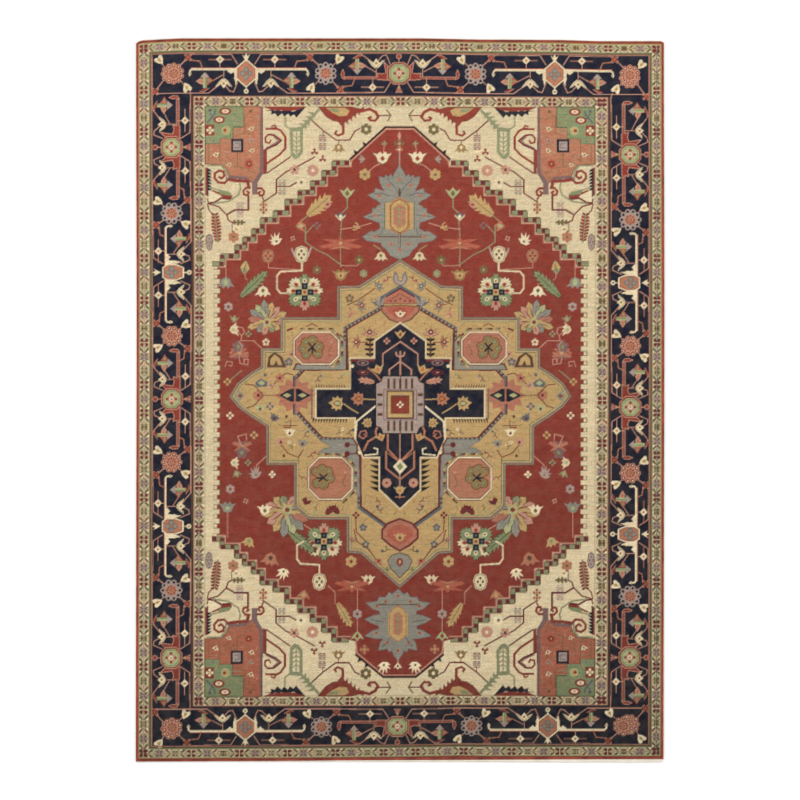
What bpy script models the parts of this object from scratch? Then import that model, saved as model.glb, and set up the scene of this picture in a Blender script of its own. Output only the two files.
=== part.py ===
"""Hand-knotted wool area rug with a flat-woven ground, pile bands, bound sides and hemmed ends.

The rug lies flat on the floor. X is its width, Y its length and Z is up, in metres. The origin is
on the floor under the rug's centre. Run with: blender --background --python part.py
"""

import math

import bmesh
import bpy

# Overall sizes
RUG_WIDTH = 2.690  # over the bound sides
RUG_LENGTH = 3.692  # over the hemmed ends

# Thicknesses
GROUND_THICKNESS = 0.0035  # cotton warps and wefts with the knots' backs
PILE_HEIGHT = 0.0075
END_BAND_HEIGHT = 0.0028  # flat weave, so lower than the pile

# Widths of the pile bands on each side, from the outside in. A hand-knotted rug isn't quite even.
BANDS = {
    "outer_guard": {"left": 0.062, "right": 0.056, "top": 0.053, "bottom": 0.054},
    "main_border": {"left": 0.218, "right": 0.217, "top": 0.225, "bottom": 0.205},
    "inner_guard": {"left": 0.062, "right": 0.070, "top": 0.060, "bottom": 0.054},
}
END_BAND_WIDTH = 0.012

# Bound sides: a cotton cord wrapped in wool
BINDING_DIAMETER = 0.0090
BINDING_WALL = 0.0018
CORD_CLEARANCE = 0.0003  # between the cord and its wrapping

# Hemmed ends: cotton cloth folded under, and more of it shows at the bottom
HEM_WIDTHS = {"top": 0.004, "bottom": 0.016}
HEM_CLOTH = 0.0014
FOLD_SEGMENTS = 8

JOINT_GAP = 0.0003  # kept between pieces that touch
CORNER_SOFTNESS = 0.0008
BINDING_SIDES = 20

GROUND_EDGES = {
    "left": -(RUG_WIDTH / 2 - BINDING_DIAMETER - JOINT_GAP),
    "right": RUG_WIDTH / 2 - BINDING_DIAMETER - JOINT_GAP,
    "top": RUG_LENGTH / 2 - HEM_WIDTHS["top"] - JOINT_GAP,
    "bottom": -(RUG_LENGTH / 2 - HEM_WIDTHS["bottom"] - JOINT_GAP),
}
GROUND_LENGTH = GROUND_EDGES["top"] - GROUND_EDGES["bottom"]
GROUND_MIDDLE = (GROUND_EDGES["top"] + GROUND_EDGES["bottom"]) / 2
INWARD = {"left": 1, "right": -1, "top": -1, "bottom": 1}
PILE_BOTTOM = GROUND_THICKNESS + JOINT_GAP
PILE_TOP = GROUND_THICKNESS + PILE_HEIGHT

# Colours as red, green and blue, with the roughness of the yarn
COTTON = ("cotton", (0.80, 0.74, 0.60), 0.85)
BRICK_WOOL = ("brick_wool", (0.42, 0.09, 0.06), 0.90)
NAVY_WOOL = ("navy_wool", (0.03, 0.04, 0.07), 0.90)
STRAW_WOOL = ("straw_wool", (0.66, 0.56, 0.34), 0.90)
BAND_WOOLS = {
    "outer_guard": STRAW_WOOL,
    "main_border": NAVY_WOOL,
    "inner_guard": STRAW_WOOL,
}


def clear_scene():
    for obj in list(bpy.data.objects):
        bpy.data.objects.remove(obj)


def make_collection(name):
    made = bpy.data.collections.new(name)
    bpy.context.scene.collection.children.link(made)
    return made


def yarn_material(yarn):
    name, colour, roughness = yarn
    if name in bpy.data.materials:
        return bpy.data.materials[name]
    made = bpy.data.materials.new(name)
    made.use_nodes = True
    shader = made.node_tree.nodes["Principled BSDF"]
    shader.inputs["Base Color"].default_value = (*colour, 1.0)
    shader.inputs["Roughness"].default_value = roughness
    shader.inputs["Metallic"].default_value = 0.0
    return made


def place_in_rug(obj, yarn):
    """Moves a new object to the rug's collection and gives it its yarn."""
    for collection in list(obj.users_collection):
        collection.objects.unlink(obj)
    RUG.objects.link(obj)
    obj.data.materials.append(yarn_material(yarn))
    return obj


def soften(obj):
    bevel = obj.modifiers.new("soft_corners", "BEVEL")
    bevel.width = CORNER_SOFTNESS
    bevel.segments = 2
    return obj


def woven_block(name, low, high, yarn):
    """A rectangular stretch of cloth or pile between two corners, with softened edges."""
    size = [b - a for a, b in zip(low, high)]
    middle = [(a + b) / 2 for a, b in zip(low, high)]
    bpy.ops.mesh.primitive_cube_add(size=1.0)
    block = bpy.context.active_object
    block.name = name
    for vertex in block.data.vertices:
        vertex.co = [c * s for c, s in zip(vertex.co, size)]
    block.location = middle
    return soften(place_in_rug(block, yarn))


def build_ground():
    """The warps and wefts, one cloth under everything."""
    woven_block(
        "ground_weave",
        (GROUND_EDGES["left"], GROUND_EDGES["bottom"], 0.0),
        (GROUND_EDGES["right"], GROUND_EDGES["top"], GROUND_THICKNESS),
        COTTON,
    )


def inset(edges, widths):
    """A frame's inner edges, from its outer edges and its width on each side."""
    return {side: edges[side] + INWARD[side] * widths[side] for side in edges}


def even_widths(width, sides=tuple(INWARD)):
    """The same width on the named sides and none on the others."""
    return {side: width if side in sides else 0.0 for side in INWARD}


def build_end_bands():
    """The flat-woven wool stripe that closes the pile at each end."""
    outer = GROUND_EDGES
    inner = inset(outer, even_widths(END_BAND_WIDTH))
    for end in HEM_WIDTHS:
        low, high = sorted((outer[end], inner[end]))
        woven_block(
            f"end_band_{end}",
            (outer["left"], low, PILE_BOTTOM),
            (outer["right"], high, PILE_BOTTOM + END_BAND_HEIGHT),
            BRICK_WOOL,
        )


def build_pile():
    """The pile bands as frames of four runs, each inside the last, then the field in the middle.

    The end runs go right across and hold the corners. The side runs fit between them.
    """
    outer = inset(GROUND_EDGES, even_widths(END_BAND_WIDTH + JOINT_GAP, HEM_WIDTHS))
    for name, widths in BANDS.items():
        inner = inset(outer, widths)
        between = inset(inner, even_widths(JOINT_GAP))
        runs = {
            "top": (outer["left"], outer["right"], inner["top"], outer["top"]),
            "bottom": (outer["left"], outer["right"], outer["bottom"], inner["bottom"]),
            "left": (outer["left"], inner["left"], between["bottom"], between["top"]),
            "right": (inner["right"], outer["right"], between["bottom"], between["top"]),
        }
        for side, (x_low, x_high, y_low, y_high) in runs.items():
            woven_block(
                f"{name}_{side}",
                (x_low, y_low, PILE_BOTTOM),
                (x_high, y_high, PILE_TOP),
                BAND_WOOLS[name],
            )
        outer = between
    woven_block(
        "field_pile",
        (outer["left"], outer["bottom"], PILE_BOTTOM),
        (outer["right"], outer["top"], PILE_TOP),
        BRICK_WOOL,
    )


def turned_tube(name, radius, length, wall, yarn):
    """A tube along Y, open at both ends, from an open cylinder with an inward thickness."""
    bpy.ops.mesh.primitive_cylinder_add(
        vertices=BINDING_SIDES, radius=radius, depth=length, end_fill_type="NOTHING"
    )
    tube = bpy.context.active_object
    tube.name = name
    tube.rotation_euler.x = math.pi / 2
    shell = tube.modifiers.new("wrapping", "SOLIDIFY")
    shell.thickness = wall
    shell.offset = -1.0
    tube.data.shade_smooth()
    return place_in_rug(tube, yarn)


def turned_cord(name, radius, length, yarn):
    bpy.ops.mesh.primitive_cylinder_add(
        vertices=BINDING_SIDES, radius=radius, depth=length
    )
    cord = bpy.context.active_object
    cord.name = name
    cord.rotation_euler.x = math.pi / 2
    cord.data.shade_smooth()
    return place_in_rug(cord, yarn)


def build_bound_sides():
    """Each side's edge cord, and the wool wrapped round it."""
    radius = BINDING_DIAMETER / 2
    cord_radius = radius - BINDING_WALL - CORD_CLEARANCE
    for side in ("left", "right"):
        wrap = turned_tube(f"side_binding_{side}", radius, GROUND_LENGTH, BINDING_WALL, BRICK_WOOL)
        cord = turned_cord(f"edge_cord_{side}", cord_radius, GROUND_LENGTH, COTTON)
        for piece in (wrap, cord):
            piece.location = (-INWARD[side] * (RUG_WIDTH / 2 - radius), GROUND_MIDDLE, radius)


def hem_outline(width):
    """The middle of the hem's cloth in (outward, up): top leaf, round fold, bottom leaf."""
    turn = (GROUND_THICKNESS - HEM_CLOTH) / 2
    centre = width - HEM_CLOTH / 2 - turn
    points = [(0.0, GROUND_THICKNESS - HEM_CLOTH / 2)]
    for step in range(FOLD_SEGMENTS + 1):
        angle = math.pi / 2 - math.pi * step / FOLD_SEGMENTS
        outward = centre + turn * math.cos(angle)
        up = GROUND_THICKNESS / 2 + turn * math.sin(angle)
        points.append((outward, up))
    points.append((0.0, HEM_CLOTH / 2))
    return points


def build_hems():
    """The cotton cloth past each end band, folded under: an open sheet with a thickness."""
    for end, width in HEM_WIDTHS.items():
        mesh = bpy.data.meshes.new(f"hem_{end}")
        hem = bpy.data.objects.new(f"hem_{end}", mesh)
        sheet = bmesh.new()
        outline = [(-INWARD[end] * (JOINT_GAP + outward), up) for outward, up in hem_outline(width)]
        rows = [
            [sheet.verts.new((x, y, z)) for y, z in outline]
            for x in (GROUND_EDGES["left"], GROUND_EDGES["right"])
        ]
        for k in range(len(rows[0]) - 1):
            sheet.faces.new((rows[0][k], rows[0][k + 1], rows[1][k + 1], rows[1][k]))
        bmesh.ops.recalc_face_normals(sheet, faces=sheet.faces)
        sheet.to_mesh(mesh)
        sheet.free()
        hem.location.y = GROUND_EDGES[end]
        cloth = hem.modifiers.new("cloth", "SOLIDIFY")
        cloth.thickness = HEM_CLOTH
        cloth.offset = 0.0
        cloth.use_even_offset = True
        place_in_rug(hem, COTTON)


clear_scene()
RUG = make_collection("area_rug")
build_ground()
build_end_bands()
build_pile()
build_bound_sides()
build_hems()
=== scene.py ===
"""The looks of a hand-knotted wool area rug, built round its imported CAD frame.

The pattern is drawn first as the knotter's plan, a grid of yarns in centimetres from the rug's
middle. Each stretch of pile is then a surface with one point for each knot, coloured from the plan.
"""

import math

import bpy
import numpy as np
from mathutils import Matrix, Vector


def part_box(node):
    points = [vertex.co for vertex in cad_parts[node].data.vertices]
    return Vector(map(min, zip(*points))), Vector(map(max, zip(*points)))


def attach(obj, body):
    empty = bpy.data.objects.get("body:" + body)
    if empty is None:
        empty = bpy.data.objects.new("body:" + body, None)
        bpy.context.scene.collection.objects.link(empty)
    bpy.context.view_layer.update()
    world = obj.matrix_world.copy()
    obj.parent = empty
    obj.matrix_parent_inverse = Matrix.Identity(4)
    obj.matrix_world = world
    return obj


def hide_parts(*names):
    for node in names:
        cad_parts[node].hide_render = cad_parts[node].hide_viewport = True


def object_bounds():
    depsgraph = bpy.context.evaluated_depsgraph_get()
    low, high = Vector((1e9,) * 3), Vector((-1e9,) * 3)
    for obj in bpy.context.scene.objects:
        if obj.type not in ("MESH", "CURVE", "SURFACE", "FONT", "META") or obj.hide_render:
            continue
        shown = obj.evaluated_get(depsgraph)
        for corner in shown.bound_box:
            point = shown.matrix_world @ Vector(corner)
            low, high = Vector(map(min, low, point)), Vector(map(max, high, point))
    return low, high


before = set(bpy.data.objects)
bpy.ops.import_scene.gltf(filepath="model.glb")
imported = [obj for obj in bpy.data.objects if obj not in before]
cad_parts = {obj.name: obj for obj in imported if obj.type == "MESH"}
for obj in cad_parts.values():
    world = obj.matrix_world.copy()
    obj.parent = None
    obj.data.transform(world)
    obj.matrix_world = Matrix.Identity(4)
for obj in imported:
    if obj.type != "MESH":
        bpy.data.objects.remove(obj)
CAD_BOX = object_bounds()

# ---------------------------------------------------------------------------
# Yarns: the dyed wools, as red, green and blue on a 0 to 255 display scale
# ---------------------------------------------------------------------------

YARNS = {
    "brick": (148, 60, 47),
    "maroon": (118, 42, 46),
    "coral": (184, 98, 76),
    "salmon": (188, 124, 94),
    "rose": (200, 146, 122),
    "dusty": (186, 118, 94),
    "terracotta": (184, 106, 80),
    "orange": (196, 118, 66),
    "gold": (197, 162, 107),
    "old_gold": (160, 126, 80),
    "ivory": (221, 201, 161),
    "cream": (232, 213, 174),
    "straw": (208, 190, 148),
    "sage": (146, 148, 110),
    "green": (136, 148, 104),
    "celadon": (178, 178, 128),
    "olive": (122, 106, 68),
    "blue": (149, 144, 129),
    "slate": (104, 108, 110),
    "mauve": (136, 104, 100),
    "lilac": (176, 154, 142),
    "brown": (100, 66, 50),
    "navy": (25, 28, 46),
    "ink": (32, 29, 32),
}
YARN_NUMBERS = {name: number for number, name in enumerate(YARNS)}


# ---------------------------------------------------------------------------
# Drawing the plan
# ---------------------------------------------------------------------------

DRAWN_PER_CM = 5  # cells of the plan to a centimetre
CM = 0.01
DISC_SIDES = 14
LINE_END = 0.6  # how far a line runs past its ends, in half widths


class Plan:
    """A grid of yarn numbers over the whole rug. Row 0 is at its bottom end."""

    def __init__(self, half_width, half_length):
        self.corner = np.array([-half_width, -half_length])
        columns = round(2 * half_width * DRAWN_PER_CM)
        rows = round(2 * half_length * DRAWN_PER_CM)
        self.yarns = np.zeros((rows, columns), np.uint8)

    def fill(self, yarn, points):
        """Fills a closed outline, by finding where each row of cells crosses its edges."""
        spots = (np.asarray(points, float) - self.corner) * DRAWN_PER_CM - 0.5
        rows, columns = self.yarns.shape
        low = max(0, math.ceil(spots[:, 1].min()))
        high = min(rows, math.ceil(spots[:, 1].max()))
        left = max(0, math.ceil(spots[:, 0].min()))
        right = min(columns, math.ceil(spots[:, 0].max()))
        if low >= high or left >= right:
            return
        crossings = np.zeros((high - low, right - left + 1), np.int32)
        for (x0, y0), (x1, y1) in zip(spots, np.roll(spots, -1, axis=0)):
            if y0 > y1:
                x0, y0, x1, y1 = x1, y1, x0, y0
            row = np.arange(max(low, math.ceil(y0)), min(high, math.ceil(y1)))
            if not len(row):
                continue
            column = np.ceil(x0 + (row - y0) * (x1 - x0) / (y1 - y0)).astype(int)
            np.add.at(crossings, (row - low, np.clip(column, left, right) - left), 1)
        inside = np.cumsum(crossings, axis=1)[:, :-1] % 2 == 1
        self.yarns[low:high, left:right][inside] = YARN_NUMBERS[yarn]


def bare(plan, yarn, x, y, reach):
    """Whether the plan still shows only one yarn in a square round a place."""
    column, row = np.round((np.array([x, y]) - plan.corner) * DRAWN_PER_CM).astype(int)
    cells = round(reach * DRAWN_PER_CM)
    square = plan.yarns[row - cells : row + cells, column - cells : column + cells]
    return bool((square == YARN_NUMBERS[yarn]).all())


def scatter(pen, yarn, count, low, high, reach, motif):
    """Draws a motif at chance places on the left and right, where the ground is still bare."""
    draws = np.random.default_rng(count)
    for _ in range(count):
        x, y = draws.uniform(low, high)
        turn, kind = draws.uniform(0, 360), int(draws.integers(0, 12))
        if bare(pen.plan, yarn, -x, y, reach) and bare(pen.plan, yarn, x, y, reach):
            for side in pen.halves():
                motif(side.at(x, y, turn=turn), kind)


class Pen:
    """Draws on the plan in its own centimetres, which can be moved, turned, mirrored and sized."""

    def __init__(self, plan, axes=np.eye(2), origin=(0.0, 0.0)):
        self.plan = plan
        self.axes = np.asarray(axes, float)
        self.origin = np.asarray(origin, float)

    def spots(self, points):
        """Where the pen's own points lie on the plan."""
        return np.asarray(points, float).reshape(-1, 2) @ self.axes + self.origin

    def at(self, x, y, turn=0.0, flip=False, size=1.0, wide=1.0):
        """A pen whose middle is at x, y, turned by degrees, and mirrored left to right by flip."""
        angle = math.radians(turn)
        along = np.array([math.cos(angle), math.sin(angle)]) * size * (-wide if flip else wide)
        across = np.array([-math.sin(angle), math.cos(angle)]) * size
        axes = np.array([along, across]) @ self.axes
        return Pen(self.plan, axes, self.spots([(x, y)])[0])

    def facing(self, x, right, up):
        """A pen whose middle is at x, mirrored where right or up is -1."""
        return Pen(self.plan, np.diag([right, up]) @ self.axes, self.spots([(x, 0)])[0])

    def halves(self):
        """This pen and its mirror image, for a motif that is the same on both sides."""
        return (self, Pen(self.plan, np.diag([-1.0, 1.0]) @ self.axes, self.origin))

    def quarters(self):
        """The four mirror images, for a motif whose quarters are alike."""
        return [
            Pen(self.plan, np.diag([x, y]) @ self.axes, self.origin)
            for x in (1.0, -1.0)
            for y in (1.0, -1.0)
        ]

    def fill(self, yarn, *points):
        self.plan.fill(yarn, self.spots(points))

    def box(self, yarn, left, low, right, high):
        self.fill(yarn, (left, low), (right, low), (right, high), (left, high))

    def line(self, yarn, width, *points):
        """A line of even width, whatever the pen's size, whose ends run a little past its points."""
        spots = self.spots(points)
        for start, end in zip(spots[:-1], spots[1:]):
            run = end - start
            length = math.hypot(*run)
            if length == 0:
                continue
            run = run / length * width / 2
            side = np.array([-run[1], run[0]])
            start, end = start - run * LINE_END, end + run * LINE_END
            self.plan.fill(yarn, (start - side, end - side, end + side, start + side))

    def loop(self, yarn, width, *points):
        """A line that closes on itself."""
        self.line(yarn, width, *points, points[0])

    def outlined(self, yarn, edge, width, *points):
        self.fill(yarn, *points)
        self.loop(edge, width, *points)

    def disc(self, yarn, x, y, radius, high=None):
        high = radius if high is None else high
        angles = np.arange(DISC_SIDES) * 2 * math.pi / DISC_SIDES
        self.fill(yarn, *zip(x + radius * np.cos(angles), y + high * np.sin(angles)))


# ---------------------------------------------------------------------------
# Motifs. Each is drawn round its own middle, or from its stalk up the pen's +Y.
# ---------------------------------------------------------------------------


def cross_flower(pen):
    """The four-petalled flower of the guard borders."""
    for quarter in pen.quarters():
        quarter.fill("maroon", (0.15, 0.15), (1.0, 0.2), (1.8, 0.45), (1.9, 1.3), (1.1, 1.75), (0.25, 1.45))
    pen.box("straw", -0.2, -0.2, 0.2, 0.2)


def dab_rosette(pen):
    """Eight dabs of mauve wool round a dark middle."""
    for step in range(8):
        petal = pen.at(0, 0, turn=45 * step)
        petal.fill(
            "mauve" if step % 2 else "lilac", (0.5, -0.3), (1.3, -0.55), (2.1, 0.0), (1.3, 0.55),
            (0.5, 0.3),
        )
        petal.line("brown", 0.22, (1.2, -0.6), (2.1, 0.0))
    pen.disc("mauve", 0, 0, 0.6)
    pen.disc("straw", 0, 0, 0.25)


def button_flower(pen):
    """A small square flower with a cross through it."""
    for quarter in pen.quarters():
        quarter.fill("olive", (0.2, 0.25), (1.3, 0.25), (1.55, 0.8), (0.9, 1.35), (0.2, 1.2))
    pen.line("brown", 0.3, (-1.3, 0.0), (1.3, 0.0))
    pen.line("brown", 0.25, (0.0, -1.3), (0.0, 1.3))


SIDES = ("top", "bottom", "left", "right")
GUARD_FLOWERS = (cross_flower, dab_rosette, button_flower)


def guard_sprig(pen, stem, warm):
    """What lies between two guard flowers: slim leaves in pairs that open from a stem."""
    light = "rose" if warm else "sage"
    for up in (1, -1):
        pen.fill("brown", (-1.8, 0.3 * up), (-0.5, 0.4 * up), (1.0, 2.0 * up), (0.2, 2.3 * up))
        pen.fill(light, (-0.7, 0.4 * up), (0.1, 0.5 * up), (1.6, 2.0 * up), (0.9, 2.1 * up))
        pen.fill("cream", (-2.2, 1.2 * up), (-1.2, 1.3 * up), (-0.2, 2.3 * up), (-1.2, 2.4 * up))
        pen.line("brown", 0.3, (1.0, 0.4 * up), (2.4, 1.4 * up))
        pen.line("olive", 0.3, (-2.4, 2.2 * up), (-1.6, 1.0 * up))
    if stem:
        pen.line("slate", 0.35, (-3.5, 0.0), (3.5, 0.0))
    else:
        pen.line("olive", 0.3, (-2.4, 0.0), (2.4, 0.0))


def petal_rosette(pen, ring, eye, heart, rim, petals):
    """The large round flower of the main border: looped petals round a disc."""
    for step in range(petals):
        petal = pen.at(0, 0, turn=360 / petals * (step + 0.5))
        petal.disc(rim, 4.2, 0, 1.4)
        petal.disc(ring, 4.2, 0, 1.0)
        petal.disc(eye, 4.3, 0, 0.7 if eye == "navy" else 0.4)
    pen.disc(rim, 0, 0, 3.3)
    pen.disc(heart, 0, 0, 2.7)
    for step in range(8):
        pen.at(0, 0, turn=45 * step).box("brick", 1.4, -0.3, 2.5, 0.3)
    pen.disc("rose", 0, 0, 1.3)
    pen.disc("brick", 0, 0, 0.9)
    pen.disc("gold", 0, 0, 0.45)


def red_rosette(pen):
    petal_rosette(pen.at(0, 0, size=0.96), "brick", "cream", "salmon", "rose", 10)


def grey_rosette(pen):
    petal_rosette(pen, "lilac", "navy", "salmon", "lilac", 10)


def knot_flower(pen):
    """The small red flower where the border's vine turns."""
    for step in range(4):
        petal = pen.at(0, 0, turn=45 + 90 * step)
        petal.fill("rose", (0.3, -0.6), (2.0, -0.7), (2.3, 0.0), (2.0, 0.7), (0.3, 0.6))
        petal.fill("brick", (0.3, -0.35), (1.7, -0.4), (1.9, 0.0), (1.7, 0.4), (0.3, 0.35))
    pen.disc("brick", 0, 0, 1.1)
    pen.disc("orange", 0, 0, 0.4)


def tulip_bud(pen):
    """A cream bud with its stalk down: a heart, notched at its top."""
    pen.fill(
        "cream", *both_sides([(0.0, -2.6), (1.5, -0.9), (2.3, 1.2), (1.8, 2.1), (0.8, 2.0), (0.0, 1.2)]),
    )
    pen.fill("gold", *both_sides([(0.0, -1.5), (0.9, 0.1), (0.5, 1.0)]))
    pen.line("olive", 0.25, (0.0, -0.4), (0.0, 0.9))


def lily(pen):
    """A cream lily seen from the side, its stalk down and its two outer petals curling out."""
    pen.fill("cream", (0.0, 0.2), (2.3, 2.9), (0.0, 5.8), (-2.3, 2.9))
    for side in pen.halves():
        side.fill("cream", (0.0, -0.6), (2.7, 1.4), (5.5, 5.0), (3.6, 4.5), (1.8, 2.9), (0.0, 1.4))
        side.line("old_gold", 0.3, (0.4, 0.6), (2.6, 2.4), (4.4, 4.4))
    pen.disc("gold", 0, 2.9, 0.95)
    pen.disc("brown", 0, 2.9, 0.45)
    pen.disc("brown", 0, -0.1, 0.5)


def leaf_cross(pen):
    """The border's leaf palmette: a green stalk from the bar, with unlike lobes and a red base."""
    pen.fill("celadon", (-0.9, -3.2), (0.9, -3.2), (0.9, 2.4), (-0.9, 2.4))
    pen.fill("lilac", (0.0, 4.7), (2.3, 2.0), (-2.3, 2.0))
    pen.line("green", 0.6, (0.3, -3.4), (0.3, 2.0))
    pen.fill("rose", (-0.9, 1.2), (-2.4, 1.6), (-4.6, 0.2), (-2.6, -1.1), (-0.9, -1.6))
    pen.fill("salmon", (-1.0, 0.5), (-2.3, 0.8), (-3.4, 0.1), (-2.2, -0.5), (-1.0, -0.6))
    pen.fill("coral", (1.0, 1.8), (2.4, 1.8), (4.5, 0.4), (2.4, -0.8), (1.0, -2.0))
    pen.fill("sage", (1.0, 0.8), (2.6, 1.0), (3.6, 0.3), (2.4, -0.2))
    pen.fill("brick", (-2.4, -4.4), (-0.6, -3.4), (1.8, -3.0), (0.8, -4.2), (-1.0, -4.9))
    pen.line("rose", 0.3, (-2.6, -4.7), (-0.8, -5.1), (2.2, -3.2))


def barred_diamond(pen, bar):
    """A cream diamond on a thin bar, along the pen's X."""
    pen.line(bar, 0.45, (-5.8, 0.0), (5.8, 0.0))
    pen.fill("cream", (-2.1, 0.0), (0.0, -1.9), (2.1, 0.0), (0.0, 1.9))
    pen.fill("salmon", (-0.7, 0.0), (0.0, -0.9), (0.7, 0.0), (0.0, 0.9))


def vine_octagon(pen, squash):
    """The main border's green octagon, with its red edge and four red dots."""
    reach, corner, high = 5.9 * squash, 2.6 * squash, 5.3
    shape = [(reach, corner), (corner, high), (-corner, high), (-reach, corner)]
    shape += [(-x, -y) for x, y in shape]
    pen.outlined("brick", "rose", 0.4, *shape)
    pen.fill("celadon", *[(x * 0.84, y * 0.84) for x, y in shape])
    pen.loop("green", 0.5, *[(x * 0.72, y * 0.72) for x, y in shape])
    for step in range(4):
        arm = pen.at(0, 0, turn=90 * step)
        arm.fill("rose", (0.0, -0.5), (1.5, -1.3), (3.2, 0.0), (1.5, 1.3), (0.0, 0.5))
        arm.disc("brick", 2.2, 0, 0.7)
    pen.disc("cream", 0, 0, 1.1)
    pen.disc("sage", 0, 0, 0.6)
    pen.line("rose", 0.5, (0.0, high), (0.0, 7.0))
    pen.line("rose", 0.5, (0.0, -high), (0.0, -7.2))
    for x in (-1.3, 0.0, 1.3):
        pen.line("rose", 0.9, (0.0, 6.6), (x, 9.2))
        pen.line("brick", 0.5, (0.0, 6.8), (x, 8.8))
    pen.disc("gold", 0, 7.0, 0.5)
    pen.disc("rose", 0, -8.3, 1.4)
    pen.disc("brick", 0, -8.3, 1.0)


def vine_hexagon(pen, squash):
    """The main border's cream hexagon, with a blue four-petalled flower on salmon."""
    shape = both_sides([(0.0, 7.2), (5.3, 2.8), (5.3, -2.6), (0.0, -7.0)])
    if squash < 1:
        shape = both_sides([(2.6, 4.84), (4.2, 2.2), (4.2, -2.2), (2.6, -6.16)])
    pen.fill("cream", *shape)
    pen.fill("brick", *[(x * 0.86, y * 0.88) for x, y in shape])
    pen.fill("salmon", *[(x * 0.8, y * 0.83) for x, y in shape])
    for step in range(4):
        petal = pen.at(0, 0, turn=90 * step)
        petal.disc("slate", 1.9, 0, 1.3)
        petal.disc("blue", 1.9, 0, 0.95)
    pen.disc("orange", 0, 0, 0.6)
    pen.fill("cream", *both_sides([(0.0, 5.6), (0.9, 7.2), (2.0, 9.4), (0.7, 8.2), (0.0, 10.2)]))
    pen.line("cream", 0.5, (0.0, -6.2), (0.0, -8.0))
    pen.disc("cream", 0, -8.7, 1.2)
    pen.disc("brown", 0, -8.7, 0.5)


def vine_bar(pen, end, middle, light):
    """The long bar from a border medallion towards the next rosette, hooked at its end."""
    core, edge = ("cream", "coral") if light else ("brick", "rose")
    start = 3.6 if light else 4.4
    pen.line(edge, 1.5, (start, middle), (end, middle))
    if light:
        pen.line(core, 1.0, (start, middle - 0.2), (end, middle - 0.2))
        low = middle - 3.2
        pen.fill(
            core, (start, low + 3.6), (9.6, low + 3.0), (9.4, low + 1.9), (8.4, low + 1.3),
            (7.8, low + 0.5), (7.0, low + 1.3), (6.2, low + 1.6), (6.0, low), (6.1, low - 1.6),
            (5.6, low - 3.0), (5.5, low - 5.0), (4.6, low - 3.0), (4.2, low - 1.0), (start, low),
        )
        pen.line(core, 0.8, (end - 0.3, middle - 0.2), (end + 0.9, middle - 0.9), (end + 1.1, middle - 2.2))
        pen.fill(
            core, (end + 0.6, middle - 1.6), (end + 1.8, middle - 2.2), (end + 1.2, middle - 3.9),
            (end + 0.2, middle - 2.8),
        )
        pen.disc("old_gold", end + 0.9, middle - 2.6, 0.35)
        return
    base = [
        (start, middle + 1.0), (start + 6.4, middle + 0.9), (start + 6.4, middle - 0.8),
        (start + 7.0, middle - 2.4), (start + 4.4, middle - 1.9), (start + 2.2, middle - 2.6),
        (start + 3.2, -5.6), (start + 1.0, -3.4), (start, -1.6),
    ]
    pen.outlined(core, edge, 0.4, *base)
    pen.line(core, 0.8, (start, middle), (end, middle))
    hook = [
        (end - 0.6, middle + 0.6), (end + 1.2, middle - 0.1), (end + 1.5, middle - 2.4),
        (end + 0.6, middle - 4.4), (end - 0.2, middle - 2.4), (end, middle - 0.9),
    ]
    pen.outlined(core, edge, 0.35, *hook)


def vine_cell(pen, length, light, middle, corner):
    """The main border from a medallion to the next rosette, along the pen's X.

    The bar runs on the pen's +Y side. The vine follows that edge, and on the other side it swings
    through the lily and goes on past the rosette. corner is "", "side" or "end".
    """
    reach = 0.24 * length
    pen.line("rose", 0.45, (4.4, 4.6), (7.4, 9.2), (0.74 * length, 9.5), (0.80 * length, 8.6))
    pen.line("rose", 0.45, (4.4, -4.4), (6.4, -9.0), (8.4, -8.6), (0.31 * length, -5.0))
    pen.line(
        "rose", 0.45, (0.33 * length, -4.6), (0.44 * length, -7.4), (0.52 * length, -9.6),
        (length + reach, -9.6),
    )
    pen.line("rose", 0.4, (0.31 * length, middle), (0.31 * length, -3.0))
    pen.line("rose", 0.4, (0.32 * length, -0.8), (0.5 * length, -4.4))
    vine_bar(pen, (0.66 if corner == "side" else 0.75) * length, middle, light)
    knot = (0.80 * length, 7.9) if corner != "side" else (0.76 * length, -8.2)
    pen.line("rose", 0.5, knot, (length - 3.4, 4.0 if knot[1] > 0 else -4.0))
    if knot[1] > 0:
        pen.line("salmon", 0.5, knot, (0.76 * length, 6.4), (0.64 * length, 6.0), (0.60 * length, middle))
    knot_flower(pen.at(*knot))
    pen.line("rose", 0.4, (0.36 * length, middle), (0.36 * length, 9.4))
    barred_diamond(pen.at(0.36 * length, 6.8), "salmon" if light else "rose")
    lily(pen.at(0.31 * length, -2.6, turn=180, size=0.74 if middle > 3 else 0.8))
    leaf_cross(pen.at(0.57 * length, -4.0, flip=light))
    tulip, turn, past = (0.82 * length, -6.9), 155, -3.0
    if corner == "side":
        tulip, turn, past = (length + 7.2, -5.9), -129, 3.0
    pen.line("rose", 0.4, tulip, (length + past, -3.2))
    tulip_bud(pen.at(*tulip, turn=turn))


def border_run(run, stations, upright):
    """One side of the main border: rosettes at every other station and medallions between.

    A light medallion's bar lies outward, and a dark one's inward. On the rug's ends the light
    medallions come next to the corners, and on its sides the dark ones do.
    """
    squash, middle = (0.92, 3.2) if upright else (1.0, 2.3)
    for index in range(1, len(stations) - 1, 2):
        light = (index % 4 == 1) != upright
        outward = 1 if light else -1
        for step in (-1, 1):
            length = abs(stations[index + step] - stations[index])
            corner = index + step in (0, len(stations) - 1)
            cell = run.facing(stations[index], step, outward)
            place = ("side" if upright else "end") if corner else ""
            vine_cell(cell, length, light, middle, place)
    for index in range(1, len(stations) - 1, 2):
        light = (index % 4 == 1) != upright
        medallion = vine_hexagon if light else vine_octagon
        medallion(run.facing(stations[index], 1, 1 if light else -1), squash)


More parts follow.
